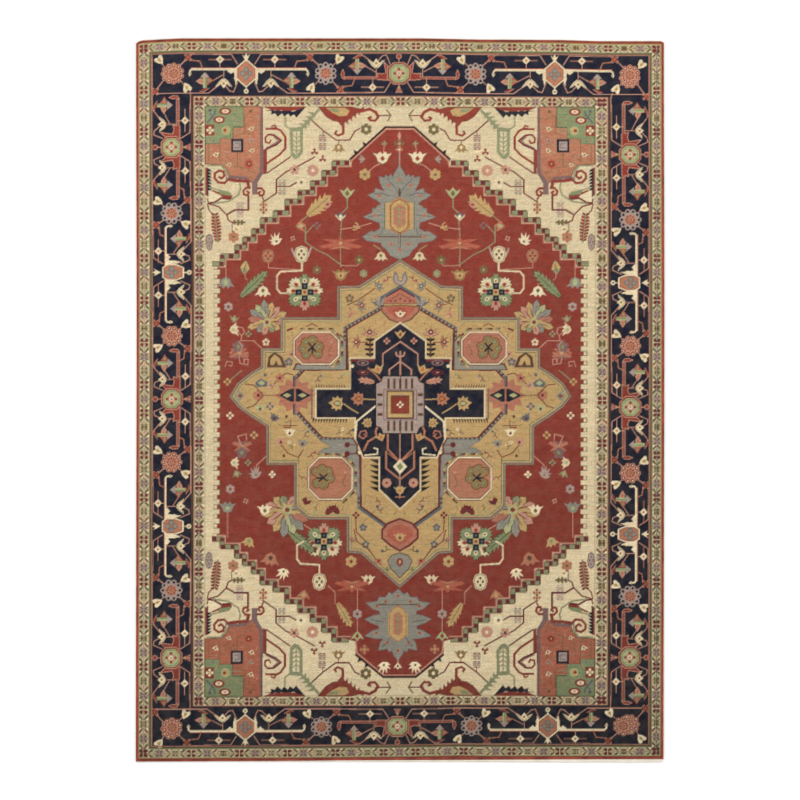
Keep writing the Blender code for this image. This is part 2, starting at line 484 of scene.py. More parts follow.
BORDER_WIDTH, GUARD_WIDTH = 21.4, 5.8  # the widths that the bands' motifs are drawn for
CORNER_FLOWER_IN = 3.0  # from a guard's outer edge to the middle of its corner flower
BORDER_STATIONS = {  # the middles of the rosettes and medallions, in turn
    "left": (-166.8, -131.1, -96.9, -64.3, -31.6, 0.5, 32.6, 65.0, 95.1, 128.8, 166.4),
    "right": (-165.2, -131.1, -100.0, -68.3, -37.2, -3.6, 27.5, 59.7, 91.8, 125.2, 164.7),
    "top": (-115.3, -78.4, -37.9, -0.6, 38.4, 78.7, 117.2),
    "bottom": (-115.9, -78.7, -39.9, -1.2, 36.6, 75.4, 114.1),
}
RED_ROSETTES = {  # which stations have a red rosette; the other even ones have a grey one
    "left": (0, 4, 6, 10),
    "right": (0, 4, 6, 10),
    "top": (0, 6),
    "bottom": (0, 6),
}
UPRIGHT_SIDES = ("left", "right")
OUTWARD = {"left": (-1, 0), "right": (1, 0), "top": (0, 1), "bottom": (0, -1)}


def zone(name):
    """A CAD node's place on the plan, in centimetres: left, low, right, high."""
    (left, low, _), (right, high, _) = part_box(name)
    return np.array([left, low, right, high]) / CM


def ring_edges(name):
    """The outer edges of a band that goes all round: left, low, right, high."""
    return np.array([
        zone(f"{name}_left")[0], zone(f"{name}_bottom")[1], zone(f"{name}_right")[2],
        zone(f"{name}_top")[3],
    ])


def run_pen(plan, band, side, drawn_width):
    """A pen along the middle of one side of a band, with its +Y outward and stretched to its width."""
    left, low, right, high = zone(f"{band}_{side}")
    if side in UPRIGHT_SIDES:
        width, along, origin = right - left, (0, 1), ((left + right) / 2, 0.0)
    else:
        width, along, origin = high - low, (1, 0), (0.0, (low + high) / 2)
    outward = np.array(OUTWARD[side]) * width / drawn_width
    return Pen(plan, np.array([along, outward]), origin)


def draw_main_border(plan):
    """The navy border: its vines and medallions, its edge lines, and its rosettes on top."""
    pen = Pen(plan)
    left, low, right, high = ring_edges("main_border")
    pen.box("navy", left, low, right, high)
    for side, stations in BORDER_STATIONS.items():
        run = run_pen(plan, "main_border", side, BORDER_WIDTH)
        border_run(run, stations, side in UPRIGHT_SIDES)
        if side in UPRIGHT_SIDES:
            top, bottom = zone("inner_guard_top")[3], zone("inner_guard_bottom")[1]
            run.line("brown", 0.5, (top, -10.2), (bottom, -10.2))
    for depth, yarn, width in ((0.2, "olive", 0.4), (0.75, "salmon", 0.55), (1.25, "mauve", 0.3)):
        band_line(pen, "main_border", yarn, width, depth)
    for side, stations in BORDER_STATIONS.items():
        run = run_pen(plan, "main_border", side, BORDER_WIDTH)
        for index in range(0, len(stations), 2):
            rosette = red_rosette if index in RED_ROSETTES[side] else grey_rosette
            rosette(run.at(stations[index], 0))


def band_line(pen, band, yarn, width, depth):
    """A line all round the rug, by a depth inside a band's outer edge."""
    left, low, right, high = ring_edges(band) + depth * np.array([1, 1, -1, -1])
    pen.loop(yarn, width, (left, low), (right, low), (right, high), (left, high))


def draw_guard(plan, band, counts, lines):
    """A pale guard border: its ground, its edge lines and its cycle of three flowers."""
    pen = Pen(plan)
    left, low, right, high = ring_edges(band)
    pen.box("straw", left, low, right, high)
    for side in SIDES:
        run = run_pen(plan, band, side, GUARD_WIDTH)
        upright = side in UPRIGHT_SIDES
        half = ((high - low) if upright else (right - left)) / 2 - CORNER_FLOWER_IN
        centre = (low + high) / 2 if upright else (left + right) / 2
        count = counts[upright]
        pitch = half / count
        for direction in (-1, 1):
            for index in range(count):
                place = centre + direction * (half - (index + 0.5) * pitch)
                facing = direction if index % 2 else -direction
                guard_sprig(run.at(place, 0, flip=facing < 0), upright, index % 3 == 1)
            for index in range(count + 1):
                GUARD_FLOWERS[index % 3](run.at(centre + direction * (half - index * pitch), 0, size=1.12))
    for depth, yarn, width in lines:
        band_line(pen, band, yarn, width, depth)
    if band == "outer_guard":
        band_line(pen, "main_border", "sage", 0.6, -0.4)


# ---------------------------------------------------------------------------
# Small motifs of the field
# ---------------------------------------------------------------------------


def daisy(pen, petal, heart, reach, petals=4):
    """A flower seen from above."""
    for step in range(petals):
        leaf = pen.at(0, 0, turn=360 / petals * step, size=reach)
        leaf.fill(petal, (0.0, 0.15), (-0.42, 0.6), (-0.25, 1.0), (0.25, 1.0), (0.42, 0.6))
    pen.disc(heart, 0, 0, reach * 0.3)


def bud(pen, petal, heart, size):
    """A pointed bud between two sepals."""
    part = pen.at(0, 0, size=size)
    part.fill(petal, *both_sides([(0.0, -0.1), (0.5, 0.4), (0.95, 1.1), (0.4, 0.85), (0.0, 1.35)]))
    part.fill(heart, (0.0, 0.2), (0.28, 0.6), (0.0, 1.0), (-0.28, 0.6))


def bell(pen, petal, heart, size):
    """A bell-shaped flower that opens upward, with a toothed mouth."""
    part = pen.at(0, 0, size=size)
    mouth = [(0.7, 0.6), (1.15, 1.1), (0.6, 0.95), (0.3, 1.3), (0.0, 0.95)]
    part.fill(petal, *both_sides([(0.0, -0.2), (0.55, 0.1), *mouth]))
    part.fill(heart, (0.0, 0.1), (0.3, 0.4), (0.0, 0.8), (-0.3, 0.4))


def trident(pen, yarn, size, width):
    """A stalk that parts into three."""
    part = pen.at(0, 0, size=size)
    part.line(yarn, width, (0.0, 0.0), (0.0, 1.2))
    for side in part.halves():
        side.line(yarn, width, (0.0, 0.35), (0.55, 0.6), (0.65, 1.05))


def serrated_leaf(pen, yarn, rib, length, width, teeth):
    """A long leaf with barbs that point to its tip."""
    pitch = length / (teeth + 0.8)
    side = []
    for step in range(teeth):
        swell = width / 2 * math.sin(math.pi * (step + 0.9) / (teeth + 1.2)) ** 0.6
        side += [
            (swell * 0.5, step * pitch), (swell, (step + 1.25) * pitch),
            (swell * 0.55, (step + 1.0) * pitch),
        ]
    outline = [(0.0, -0.3), *side, (0.0, length), *((-x, y) for x, y in reversed(side))]
    pen.fill(yarn, *outline)
    pen.line(rib, 0.35, (0.0, 0.0), (0.0, length * 0.85))


LOTUS_REACH = 10.5  # half the width that the lotus is drawn at


def lotus(pen, petal, base, half_width):
    """A wide lotus seen from the side: long petals spread to left and right."""
    for side in pen.at(0, 0, wide=half_width / LOTUS_REACH).halves():
        side.fill(
            petal, (0.0, -0.6), (3.0, -1.8), (8.5, -2.4), (LOTUS_REACH, -1.2), (7.6, -0.4), (4.0, 0.5),
            (0.0, 1.0),
        )
        side.fill(petal, (1.0, 0.2), (5.5, 0.9), (9.0, 2.6), (5.0, 2.4), (2.0, 2.0), (0.5, 1.2))
        side.fill(base, (0.0, -2.0), (2.4, -2.6), (6.0, -2.9), (3.0, -1.8), (0.0, -1.0))
    pen.fill(petal, (-1.4, 0.4), (1.4, 0.4), (1.0, 2.4), (0.0, 3.4), (-1.0, 2.4))
    pen.disc("gold", 0, 0.4, 0.8)


def ring_flower(pen, ring, heart, radius):
    """A round flower with a red ring in it."""
    pen.disc(ring, 0, 0, radius)
    pen.disc("brick", 0, 0, radius * 0.62)
    pen.disc(heart, 0, 0, radius * 0.35)


def lantern(pen, yarn, edge, heart, half_width, half_height):
    """A hexagonal flower head with dots in it."""
    part = pen.at(0, 0, size=half_height, wide=half_width / half_height)
    shape = both_sides([(0.0, 1.0), (0.75, 0.75), (1.0, 0.1), (0.7, -0.75), (0.0, -1.0)])
    part.fill(yarn, *shape)
    part.loop(edge, 0.3, *[(x * 0.85, y * 0.85) for x, y in shape])
    for x, y in ((0.0, 0.4), (-0.35, 0.0), (0.35, 0.0), (0.0, -0.4)):
        part.disc(heart, x, y, 0.16)


def field_rosette(pen):
    """The field's big flower: eight fingered petals in cream and green round a plus of navy squares."""
    wide = (
        (-0.9, 2.6), (-3.3, 5.4), (-3.4, 7.0), (-2.6, 6.8), (-2.5, 8.6), (-1.4, 8.0), (-0.8, 9.6),
        (0.0, 8.6),
    )
    slim = ((-0.9, 2.6), (-2.2, 5.6), (-2.4, 7.8), (-1.2, 7.4), (-0.9, 9.4), (0.0, 8.6))
    for turn, yarn, shape in (
        (48, "ivory", wide), (-48, "ivory", wide), (84, "ivory", slim), (-84, "ivory", slim),
        (128, "green", wide), (-128, "green", wide), (0, "green", slim), (180, "rose", slim),
    ):
        petal = pen.at(0, 0, turn=turn)
        whole = [*shape, *((-x, y) for x, y in reversed(shape[:-1]))]
        petal.fill("brown", *inset(whole, -0.25))
        petal.fill(yarn, *whole)
        petal.disc("cream" if yarn == "green" else "coral", 0, 5.6, 1.0, 1.3)
        petal.disc("brick" if yarn == "green" else "maroon", 0, 5.6, 0.45, 0.7)
    pen.box("celadon", -3.4, -3.4, 3.4, 3.4)
    for step in range(4):
        square = pen.at(0, 0, turn=90 * step)
        square.box("navy", -1.5, 1.5, 1.5, 4.5)
        square.box("slate", -0.5, 2.5, 0.5, 3.5)
    pen.box("gold", -1.5, -1.5, 1.5, 1.5)
    pen.disc("brick", 0, 0, 0.7)


def clover(pen):
    """The tan clover with a navy Y in its stalk, which fills the medallion's four octagons."""
    lobes = (
        (-0.4, 3.8, 2.6), (3.0, 3.0, 2.4), (4.4, -0.4, 2.4), (3.0, -3.8, 2.2), (-3.2, -3.2, 2.4),
        (-3.8, 0.6, 2.5),
    )
    for grow, yarn in ((0.4, "brown"), (0.0, "old_gold")):
        for x, y, radius in lobes:
            pen.disc(yarn, x, y, radius + grow)
        pen.disc(yarn, 0, -0.2, 3.4 + grow)
    for x, y, radius in lobes:
        pen.disc("olive", x * 1.05, y * 1.05, radius * 0.5)
        pen.disc("sage", x * 1.05, y * 1.05, radius * 0.36)
    pen.line("navy", 0.8, (-2.0, 2.4), (-0.3, 0.4), (1.6, 2.4))
    pen.line("navy", 0.9, (-2.0, -1.8), (-0.3, 0.4), (1.8, -1.6))
    pen.line("navy", 0.8, (-0.3, 0.4), (-0.3, -3.0))


def double_square(pen, yarn):
    """Two small squares of four dabs, one over the other."""
    for y in (-2.1, 2.1):
        for quarter in pen.at(0, y).quarters():
            quarter.box(yarn, 0.25, 0.2, 1.9, 0.8)
            quarter.box(yarn, 0.25, 1.1, 1.7, 1.7)
        pen.box("rose", -0.5, y - 0.5, 0.5, y + 0.5)


def barbed_leaf(pen, yarn, core, length, width, barbs):
    """A stem with barbs to both sides, like a fern's."""
    pen.line(core, 0.8, (0.0, 0.0), (0.0, length))
    for side in pen.halves():
        for step in range(barbs):
            y = length * (step + 0.3) / barbs
            reach = width / 2 * (0.65 + 0.35 * math.sin(math.pi * (step + 0.5) / barbs))
            side.fill(yarn, (0.3, y), (reach, y + 0.9), (reach * 0.8, y + 1.8), (0.3, y + 1.5))


def hand(pen, yarn):
    """A leaf of four fingers."""
    pen.fill(
        yarn, (-1.0, 0.0), (1.6, 0.0), (3.2, 1.6), (1.8, 1.6), (3.4, 3.6), (1.6, 3.0), (1.4, 6.0),
        (0.4, 3.4), (-0.6, 6.4), (-0.8, 3.6), (-3.0, 5.4), (-1.8, 2.4), (-3.4, 2.0),
    )
    pen.disc("brown", -0.1, 1.5, 0.6)


def oak_leaf(pen, yarn, heart):
    """A lobed leaf with a dark blade and a light heart."""
    lobes = [(1.4, 0.8), (3.2, 0.6), (2.6, 2.2), (4.0, 3.4), (2.6, 4.0), (3.0, 5.8), (1.4, 5.4)]
    pen.fill(yarn, *both_sides([(0.0, 0.0), *lobes, (0.0, 7.6)]))
    pen.fill("brown", *both_sides([(0.0, 1.0), (1.6, 2.4), (1.2, 4.0), (0.0, 5.2)]))
    pen.disc(heart, 0, 3.0, 1.0, 1.4)


def drop(pen, yarn, heart, size):
    """A pointed bud on its stalk, with a calyx of two short leaves."""
    pen.fill(
        "brown", (0.0, -size - 0.3), (size * 0.8, -0.4), (size * 0.5, size * 0.6), (0.3, size + 0.4),
        (-size * 0.5, size * 0.4), (-size * 0.8, -0.4),
    )
    pen.fill(
        yarn, (0.0, -size), (size * 0.68, -0.4), (size * 0.4, size * 0.6), (0.3, size),
        (-size * 0.4, size * 0.4), (-size * 0.68, -0.4),
    )
    pen.fill(heart, (0.0, -size), (size * 0.5, -size * 0.5), (0.0, size * 0.1), (-size * 0.5, -size * 0.5))
    pen.line("brown", 0.3, (0.0, -size * 0.6), (0.0, size * 0.5))


def small_palmette(pen, petal, heart, reach):
    """A fan of five pointed petals on a short calyx."""
    for yarn, width, length in (("brown", 0.3, reach + 0.35), (petal, 0.22, reach)):
        for turn in (-84, -44, 0, 44, 84):
            leaf = pen.at(0, 0, turn=turn)
            leaf.fill(yarn, (-reach * width, 0.3), (0.0, length), (reach * width, 0.3))
    pen.disc(heart, 0, reach * 0.3, reach * 0.32)
    pen.disc("cream", 0, reach * 0.3, reach * 0.12)


def twig(pen, kind):
    """A thin bent twig with a leaf and a small blossom."""
    stem = ("maroon", "brown", "olive")[kind % 3]
    petal = ("rose", "slate", "celadon", "dusty", "blue", "cream")[kind % 6]
    pen.line(stem, 0.4, (-2.0, -0.9), (-0.5, 0.2), (0.4, -0.2), (1.7, 1.0))
    pen.line(stem, 0.35, (-0.5, 0.2), (-1.2, 1.5))
    pen.fill(petal, (-1.7, 1.2), (-0.7, 1.2), (-1.2, 2.4))
    pen.disc(petal, 1.6, 1.0, 0.85)
    pen.disc(stem, 1.6, 1.0, 0.35)


def star(pen, kind):
    """A small four-petalled blossom on the red ground."""
    daisy(pen, ("straw", "sage", "rose", "lilac")[kind % 4], "brown", 1.4)


def fleck(pen, kind):
    """A loose thread of another dye lot, lying along its row."""
    pen.line(("rose", "olive", "sage", "coral")[kind % 4], 0.3, (-1.0, 0.0), (1.0, 0.0))


def dashes(pen, yarns, width, step, *points):
    """A line in short bits of different yarns, one after another."""
    count = 0
    for start, end in zip(np.array(points[:-1], float), np.array(points[1:], float)):
        bits = max(1, round(math.dist(start, end) / step))
        for bit in range(bits):
            ends = (start + (end - start) * bit / bits, start + (end - start) * (bit + 1) / bits)
            pen.line(yarns[count % len(yarns)], width, *ends)
            count += 1


def both_sides(points):
    """The right half of an outline, from its top to its bottom, and the mirror image that closes it."""
    return [*points, *((-x, y) for x, y in reversed(points) if x > 0)]


def inset(points, depth):
    """A closed outline moved inward by depth, with its corners kept sharp."""
    spots = np.array(points, float)
    runs = np.roll(spots, -1, axis=0) - spots
    area = (spots[:, 0] * np.roll(spots[:, 1], -1) - np.roll(spots[:, 0], -1) * spots[:, 1]).sum()
    sides = np.stack([-runs[:, 1], runs[:, 0]], axis=1) / np.hypot(*runs.T)[:, None] * np.sign(area)
    before = np.roll(sides, 1, axis=0)
    share = 1 + (before * sides).sum(axis=1)
    return spots + depth * (before + sides) / np.maximum(share, 0.3)[:, None]


# ---------------------------------------------------------------------------
# The field
# ---------------------------------------------------------------------------

# The red ground steps in toward the field's corners. Its outline is for the upper right quarter,
# and the others mirror it. Like all the field's figures, it is in centimetres from the rug's middle.
STAIRS = (
    (25.0, 119.1), (31.9, 119.1), (31.9, 114.2), (37.1, 114.2), (37.1, 109.0), (42.8, 109.0),
    (42.8, 104.2), (49.2, 104.2), (49.2, 99.6), (55.8, 99.6), (55.8, 93.7), (61.9, 93.7),
    (61.9, 90.1), (68.7, 90.1), (68.7, 84.5), (73.1, 84.5), (73.1, 80.3), (77.7, 80.3),
    (77.7, 76.4), (81.6, 76.4), (81.6, 71.7), (89.1, 71.7), (89.1, 67.8), (93.4, 67.8),
)
UPPER_POINT = ((0.0, 139.1), (7.3, 139.1), (25.5, 122.7), (25.0, 119.1))
LOWER_POINT = ((22.4, -123.0), (22.4, -129.7), (8.4, -141.0), (0.0, -141.0))
FIELD_MIDDLE = -0.65  # where the lower half begins to mirror the upper
TEETH = 28  # down each side of the red ground


def mirrored_down(points):
    """The lower quarter's copy of an outline of the upper one."""
    return [(x, 2 * FIELD_MIDDLE - y) for x, y in reversed(points)]


def draw_ground(pen):
    """The red ground in its stepped frame, with toothed sides."""
    lower_stairs = mirrored_down(STAIRS)
    for side in pen.halves():
        for stairs in (STAIRS, lower_stairs):
            up = 1 if stairs is STAIRS else -1
            outer = [(x + 1.7, y + 1.7 * up) for x, y in stairs]
            side.line("olive", 2.9, *outer)
            dashes(side, ("maroon", "sage"), 2.1, 2.5, *outer)
    pen.fill("brick", *both_sides([*UPPER_POINT, *STAIRS[1:], *lower_stairs[:-1], *LOWER_POINT]))
    top, bottom = STAIRS[-1][1], lower_stairs[0][1]
    pitch = (top - bottom) / TEETH
    for side in pen.halves():
        side.box("olive", 94.9, bottom, 95.4, top)
        side.box("ivory", 95.2, bottom, 99.3, top)
        for tooth in range(TEETH):
            middle = bottom + (tooth + 0.5) * pitch
            side.box("olive", 91.8, middle - 1.5, 95.2, middle + 1.5)
            side.box("ivory", 92.1, middle - 1.2, 95.6, middle + 1.2)
        for stairs in (STAIRS, lower_stairs):
            side.line("rose", 0.7, *stairs)
        for point, up in ((UPPER_POINT, 1), (LOWER_POINT[::-1], -1)):
            tip, shoulder = point[1], point[2]
            inner = ((0.0, tip[1] - 1.0 * up), (tip[0] - 0.4, tip[1] - 1.0 * up))
            side.line("rose", 0.7, *inner, (shoulder[0] - 0.8, shoulder[1] - 0.8 * up), point[3])
            side.line("ink", 0.9, (0.0, tip[1]), tip, shoulder)
            for share in (0.55, 0.80):
                x = tip[0] + (shoulder[0] - tip[0]) * share
                y = tip[1] + (shoulder[1] - tip[1]) * share
                side.fill("ink", (x - 1.0, y + 0.2 * up), (x + 1.9, y + 1.6 * up), (x + 1.0, y - 1.4 * up))


def top_pendant(pen):
    """The blue palmette above the medallion, on its stem."""
    shape = [
        (0.0, 119.6), (2.4, 115.6), (3.4, 113.4), (4.6, 115.0), (5.4, 113.4), (7.0, 114.6), (7.6, 113.2),
        (10.4, 113.8), (9.8, 110.4), (7.6, 106.2), (12.2, 107.8), (12.6, 105.8), (15.9, 104.5),
        (13.4, 102.6), (11.6, 102.0), (9.2, 99.8), (11.6, 98.6), (12.4, 97.2), (13.6, 97.8), (13.8, 95.4),
        (18.2, 93.3), (13.2, 91.4), (10.2, 90.4), (9.8, 87.4), (13.0, 85.6), (14.6, 86.0), (18.8, 83.2),
        (16.8, 81.2), (9.4, 80.2), (9.0, 78.4), (6.6, 76.6), (4.6, 73.6), (0.0, 71.8),
    ]
    outline = both_sides(shape)
    pen.fill("slate", *inset(outline, -0.25))
    pen.fill("blue", *outline)
    for side in pen.halves():
        side.line("slate", 0.5, (0.0, 104.0), (2.0, 108.0), (6.4, 112.6))
        side.line("slate", 0.5, (5.0, 104.0), (9.0, 105.4), (13.0, 105.0))
        side.line("slate", 0.5, (8.4, 94.4), (16.0, 93.4))
        side.line("brown", 0.5, (0.0, 83.2), (11.0, 83.2))
        side.line("slate", 0.4, (8.4, 88.0), (9.2, 84.6), (14.0, 83.6))
        side.line("olive", 0.4, (7.6, 100.6), (7.6, 87.0))
        for x, y in (
            (0.0, 112.4), (5.6, 109.4), (10.4, 104.2), (12.6, 94.0), (12.4, 83.2), (4.4, 79.4), (0.0, 76.6),
        ):
            side.disc("salmon", x, y, 0.95)
            side.disc("coral", x, y, 0.5)
    pen.line("brown", 0.9, (0.0, 104.0), (0.0, 107.6))
    pen.box("gold", -7.0, 87.0, 7.0, 100.4)
    block = both_sides([(0.0, 102.6), (3.0, 101.4), (4.8, 99.0), (4.8, 88.4), (3.0, 86.2), (0.0, 84.8)])
    pen.fill("orange", *inset(block, -0.5))
    pen.fill("gold", *block)
    pen.loop("brown", 0.35, *inset(block, 0.4))
    pen.fill("salmon", *both_sides([(0.0, 99.8), (3.1, 98.0), (3.1, 89.6), (0.0, 87.6)]))
    pen.line("sage", 0.6, (0.0, 88.6), (0.0, 98.6))
    for side in pen.halves():
        for y in (91.0, 94.0, 97.0):
            side.line("sage", 0.6, (0.0, y - 0.6), (1.8, y + 0.4))
    pen.line("lilac", 0.6, (0.0, 119.2), (0.0, 126.0))
    pen.line("brown", 0.9, (0.0, 84.8), (0.0, 78.2))
    pen.line("lilac", 0.4, (0.0, 84.8), (0.0, 78.2))
    daisy(pen.at(0, 130.6), "olive", "rose", 2.6)
    daisy(pen.at(0, 127.6), "salmon", "cream", 1.8)
    pen.fill("rose", (0.0, 132.0), (1.0, 134.6), (0.0, 137.0), (-1.0, 134.6))


def bottom_pendant(pen):
    """The blue palmette below the medallion."""
    shape = [
        (0.0, -96.4), (3.0, -99.0), (4.6, -98.0), (6.4, -100.6), (9.6, -100.4), (10.6, -102.6),
        (16.2, -103.4), (12.8, -106.4), (9.4, -107.4), (9.2, -109.2), (12.6, -109.8), (16.8, -111.6),
        (13.6, -113.6), (9.6, -115.0), (9.6, -116.6), (13.0, -117.6), (16.8, -120.2), (11.4, -121.4),
        (7.6, -121.6), (9.0, -123.8), (9.8, -127.4), (7.0, -127.0), (5.4, -126.4), (4.6, -128.2),
        (3.0, -127.6), (2.0, -130.0), (0.0, -132.4),
    ]
    outline = both_sides(shape)
    pen.fill("slate", *inset(outline, -0.25))
    pen.fill("blue", *outline)
    for side in pen.halves():
        side.line("brown", 0.5, (0.0, -104.4), (11.0, -104.2))
        side.line("slate", 0.5, (7.0, -113.0), (14.0, -112.0))
        side.line("slate", 0.5, (4.0, -121.0), (7.4, -125.4))
        for x, y in (
            (0.0, -99.8), (6.4, -102.8), (10.8, -105.0), (11.0, -118.6), (5.4, -123.6), (0.0, -127.6),
        ):
            side.disc("salmon", x, y, 0.9)
            side.disc("maroon", x, y, 0.45)
    pen.box("gold", -4.9, -120.0, 4.9, -108.4)
    block = [(0.0, -105.4), (2.6, -106.6), (4.0, -109.0), (4.0, -119.0), (2.6, -121.2), (0.0, -122.6)]
    pen.fill("orange", *inset(both_sides(block), -0.4))
    pen.fill("gold", *both_sides(block))
    pen.fill("salmon", *both_sides([(0.0, -108.0), (2.3, -109.6), (2.3, -118.4), (0.0, -120.2)]))
    pen.line("sage", 0.6, (0.0, -109.4), (0.0, -119.0))
    for side in pen.halves():
        for y in (-112.0, -115.6):
            side.line("sage", 0.5, (0.0, y), (1.4, y + 0.8))
    pen.line("lilac", 0.5, (0.0, -131.0), (0.0, -135.0))
    bud(pen.at(0, -134.0, turn=180), "cream", "brick", 2.4)


MEDALLION = (
    (0.0, 71.6), (20.9, 58.2), (31.9, 57.9), (31.9, 42.0), (60.8, 42.0), (60.8, 26.3), (71.0, 26.3),
    (71.0, 17.0), (76.0, 14.0), (83.0, 8.5), (87.0, 1.9), (83.0, -3.4), (76.0, -8.6), (68.1, -13.6),
    (68.1, -33.0), (53.7, -33.0), (53.7, -53.5), (52.8, -55.3), (46.5, -60.7), (26.9, -60.7),
    (26.9, -77.6), (19.9, -78.2), (0.0, -95.5),
)
INNER_MEDALLION = (
    (0.0, 57.2), (8.8, 51.9), (9.0, 47.0), (27.6, 36.3), (27.0, 16.0), (49.0, 15.6), (53.3, 10.6),
    (52.8, -5.4), (48.7, -10.2), (39.6, -19.8), (23.7, -20.0), (20.3, -28.9), (20.3, -54.4), (0.0, -69.0),
)
CROSS = (
    (0.0, 39.5), (13.1, 30.1), (13.1, 21.4), (25.6, 21.4), (25.6, 5.6), (43.0, 5.6), (43.0, -9.3),
    (23.0, -9.3), (23.0, -20.0), (18.9, -29.3), (10.5, -29.3), (10.5, -45.7), (0.0, -55.7),
)


OUTER_EDGE = (
    (-0.2, "olive"), (0.0, "blue"), (0.6, "brown"), (0.85, "salmon"), (1.3, "celadon"), (1.9, "olive"),
    (2.2, "gold"),
)
INNER_EDGE = ((-1.4, "slate"), (-0.1, "ink"), (0.15, "maroon"), (0.8, "gold"))


def draw_medallion(pen):
    """The medallion, from its outer edge inward. An edge is a depth and the yarn from there in."""
    for depth, yarn in OUTER_EDGE:
        pen.fill(yarn, *inset(both_sides(MEDALLION), depth))
    medallion_ground(pen)
    for depth, yarn in INNER_EDGE:
        pen.fill(yarn, *inset(both_sides(INNER_MEDALLION), depth))
    for side in pen.halves():
        dashes(side, ("blue", "brown"), 1.0, 1.1, *[(x + 0.8, y) for x, y in INNER_MEDALLION[1:-1]])
    medallion_octagons(pen)
    medallion_points(pen)
    draw_cross(pen)
    scatter(pen, "gold", 700, (2.0, -92.0), (86.0, 68.0), 2.0, twig)
    scatter(pen, "gold", 900, (2.0, -92.0), (86.0, 68.0), 0.9, fleck)


def medallion_ground(pen):
    """Flowers and twigs on the medallion's gold ground."""
    for side in pen.halves():
        side.fill(
            "slate", (-0.1, 58.4), (2.8, 59.2), (3.8, 62.0), (2.8, 65.8), (1.0, 63.6), (1.0, 61.2),
            (-0.1, 60.8),
        )
        side.fill(
            "lilac", (-0.1, 58.8), (2.4, 59.6), (3.2, 62.0), (2.6, 64.4), (1.4, 63.2), (1.4, 61.0),
            (-0.1, 60.2),
        )
        side.disc("gold", 0.0, 62.4, 0.6, 1.4)
        # The upper shoulders
        side.line("maroon", 0.5, (26.9, 48.4), (21.4, 51.0), (15.4, 55.2), (12.9, 56.9))
        small_palmette(side.at(11.6, 57.6, turn=60), "blue", "slate", 3.4)
        small_palmette(side.at(20.7, 48.0, turn=75), "blue", "brick", 3.8)
        side.line("maroon", 0.4, (23.9, 48.9), (21.0, 48.3))
        side.line("maroon", 0.4, (25.8, 47.2), (24.8, 45.0), (26.0, 42.5))
        daisy(side.at(25.0, 43.8), "rose", "salmon", 2.0)
        daisy(side.at(25.8, 51.8), "olive", "rose", 2.2, 5)
        side.line("maroon", 0.5, (47.7, 37.6), (44.8, 38.9), (42.2, 37.6))
        side.line("maroon", 1.0, (57.5, 35.5), (55.0, 36.5))
        daisy(side.at(55.4, 23.4), "rose", "maroon", 1.8)
        # The far shoulders, with their yellow and blue palmettes
        side.fill("brown", (68.1, 16.6), (67.3, 22.1), (63.9, 24.6), (60.1, 22.1), (57.9, 16.6))
        side.fill("gold", (66.4, 17.8), (66.0, 21.2), (63.9, 23.4), (61.3, 21.2), (60.1, 17.8))
        side.fill("brown", (64.6, 17.0), (63.2, 20.4), (61.8, 17.0))
        daisy(side.at(56.7, 19.5), "slate", "rose", 2.2, 5)
        daisy(side.at(69.0, 12.7), "gold", "slate", 2.8, 6)
        side.fill("slate", (74.1, 8.5), (71.1, 11.0), (67.7, 8.9), (68.1, 6.8), (73.2, 6.4))
        side.fill("celadon", (72.8, 8.5), (70.9, 10.0), (69.0, 8.5), (70.7, 7.2))
        side.line("maroon", 0.5, (65.6, 5.9), (62.2, 11.0), (57.9, 13.6), (54.5, 12.7))
        daisy(side.at(61.3, 11.0), "dusty", "maroon", 2.4, 5)
        daisy(side.at(35.4, 11.5), "rose", "slate", 2.2, 5)
        side.line("slate", 0.5, (35.4, 11.0), (35.4, 8.5))
        # The lower shoulders
        for x, y, petal, turn in (
            (71.5, -4.3, "celadon", 0), (64.8, -8.9, "slate", 30), (60.5, -21.2, "rose", -10),
            (49.9, -22.1, "blue", 10), (56.2, -16.6, "cream", 0), (59.2, -28.1, "gold", 0),
        ):
            bell(side.at(x, y - 1.6, turn=turn), petal, "maroon", 2.8)
        side.line("maroon", 0.5, (60.5, -23.0), (57.1, -27.2), (51.8, -29.3), (49.4, -25.5))
        side.line("maroon", 0.5, (55.8, -8.9), (55.8, -14.0), (59.2, -14.0))
        side.line("maroon", 0.4, (59.6, -13.2), (52.4, -13.2))
        side.line("olive", 0.5, (51.8, -29.3), (51.7, -32.3))
        daisy(side.at(57.9, -8.5), "gold", "brown", 2.6, 6)
        daisy(side.at(33.1, -15.3), "rose", "cream", 2.0)
        side.line("maroon", 0.4, (33.1, -13.2), (33.1, -16.1))
        # Beside the cross's foot
        side.line("maroon", 0.6, (16.7, -51.4), (13.7, -50.6), (9.5, -53.6), (9.3, -57.8))
        ring_flower(side.at(16.1, -51.4), "rose", "gold", 1.7)
        daisy(side.at(9.5, -58.2), "cream", "maroon", 1.4)
        side.line("slate", 0.6, (9.3, -45.9), (9.3, -51.4))
        side.line("maroon", 0.5, (22.7, -59.5), (22.2, -67.2), (18.0, -71.4))
        daisy(side.at(18.7, -65.0), "slate", "blue", 2.0, 5)
        daisy(side.at(22.4, -58.7), "maroon", "dusty", 1.8)
        side.line("maroon", 0.6, (7.8, -67.2), (3.5, -62.1), (0.1, -57.8))
        small_palmette(side.at(24.0, -70.6, turn=200), "rose", "maroon", 2.6)
        daisy(side.at(17.4, -73.6), "slate", "gold", 2.0, 5)
        side.line("maroon", 0.5, (23.4, -66.0), (22.0, -72.0), (16.0, -76.0), (10.0, -84.0))
        bell(side.at(10.4, -81.0, turn=200), "dusty", "maroon", 2.4)
        daisy(side.at(6.4, -86.4), "green", "brick", 1.6)


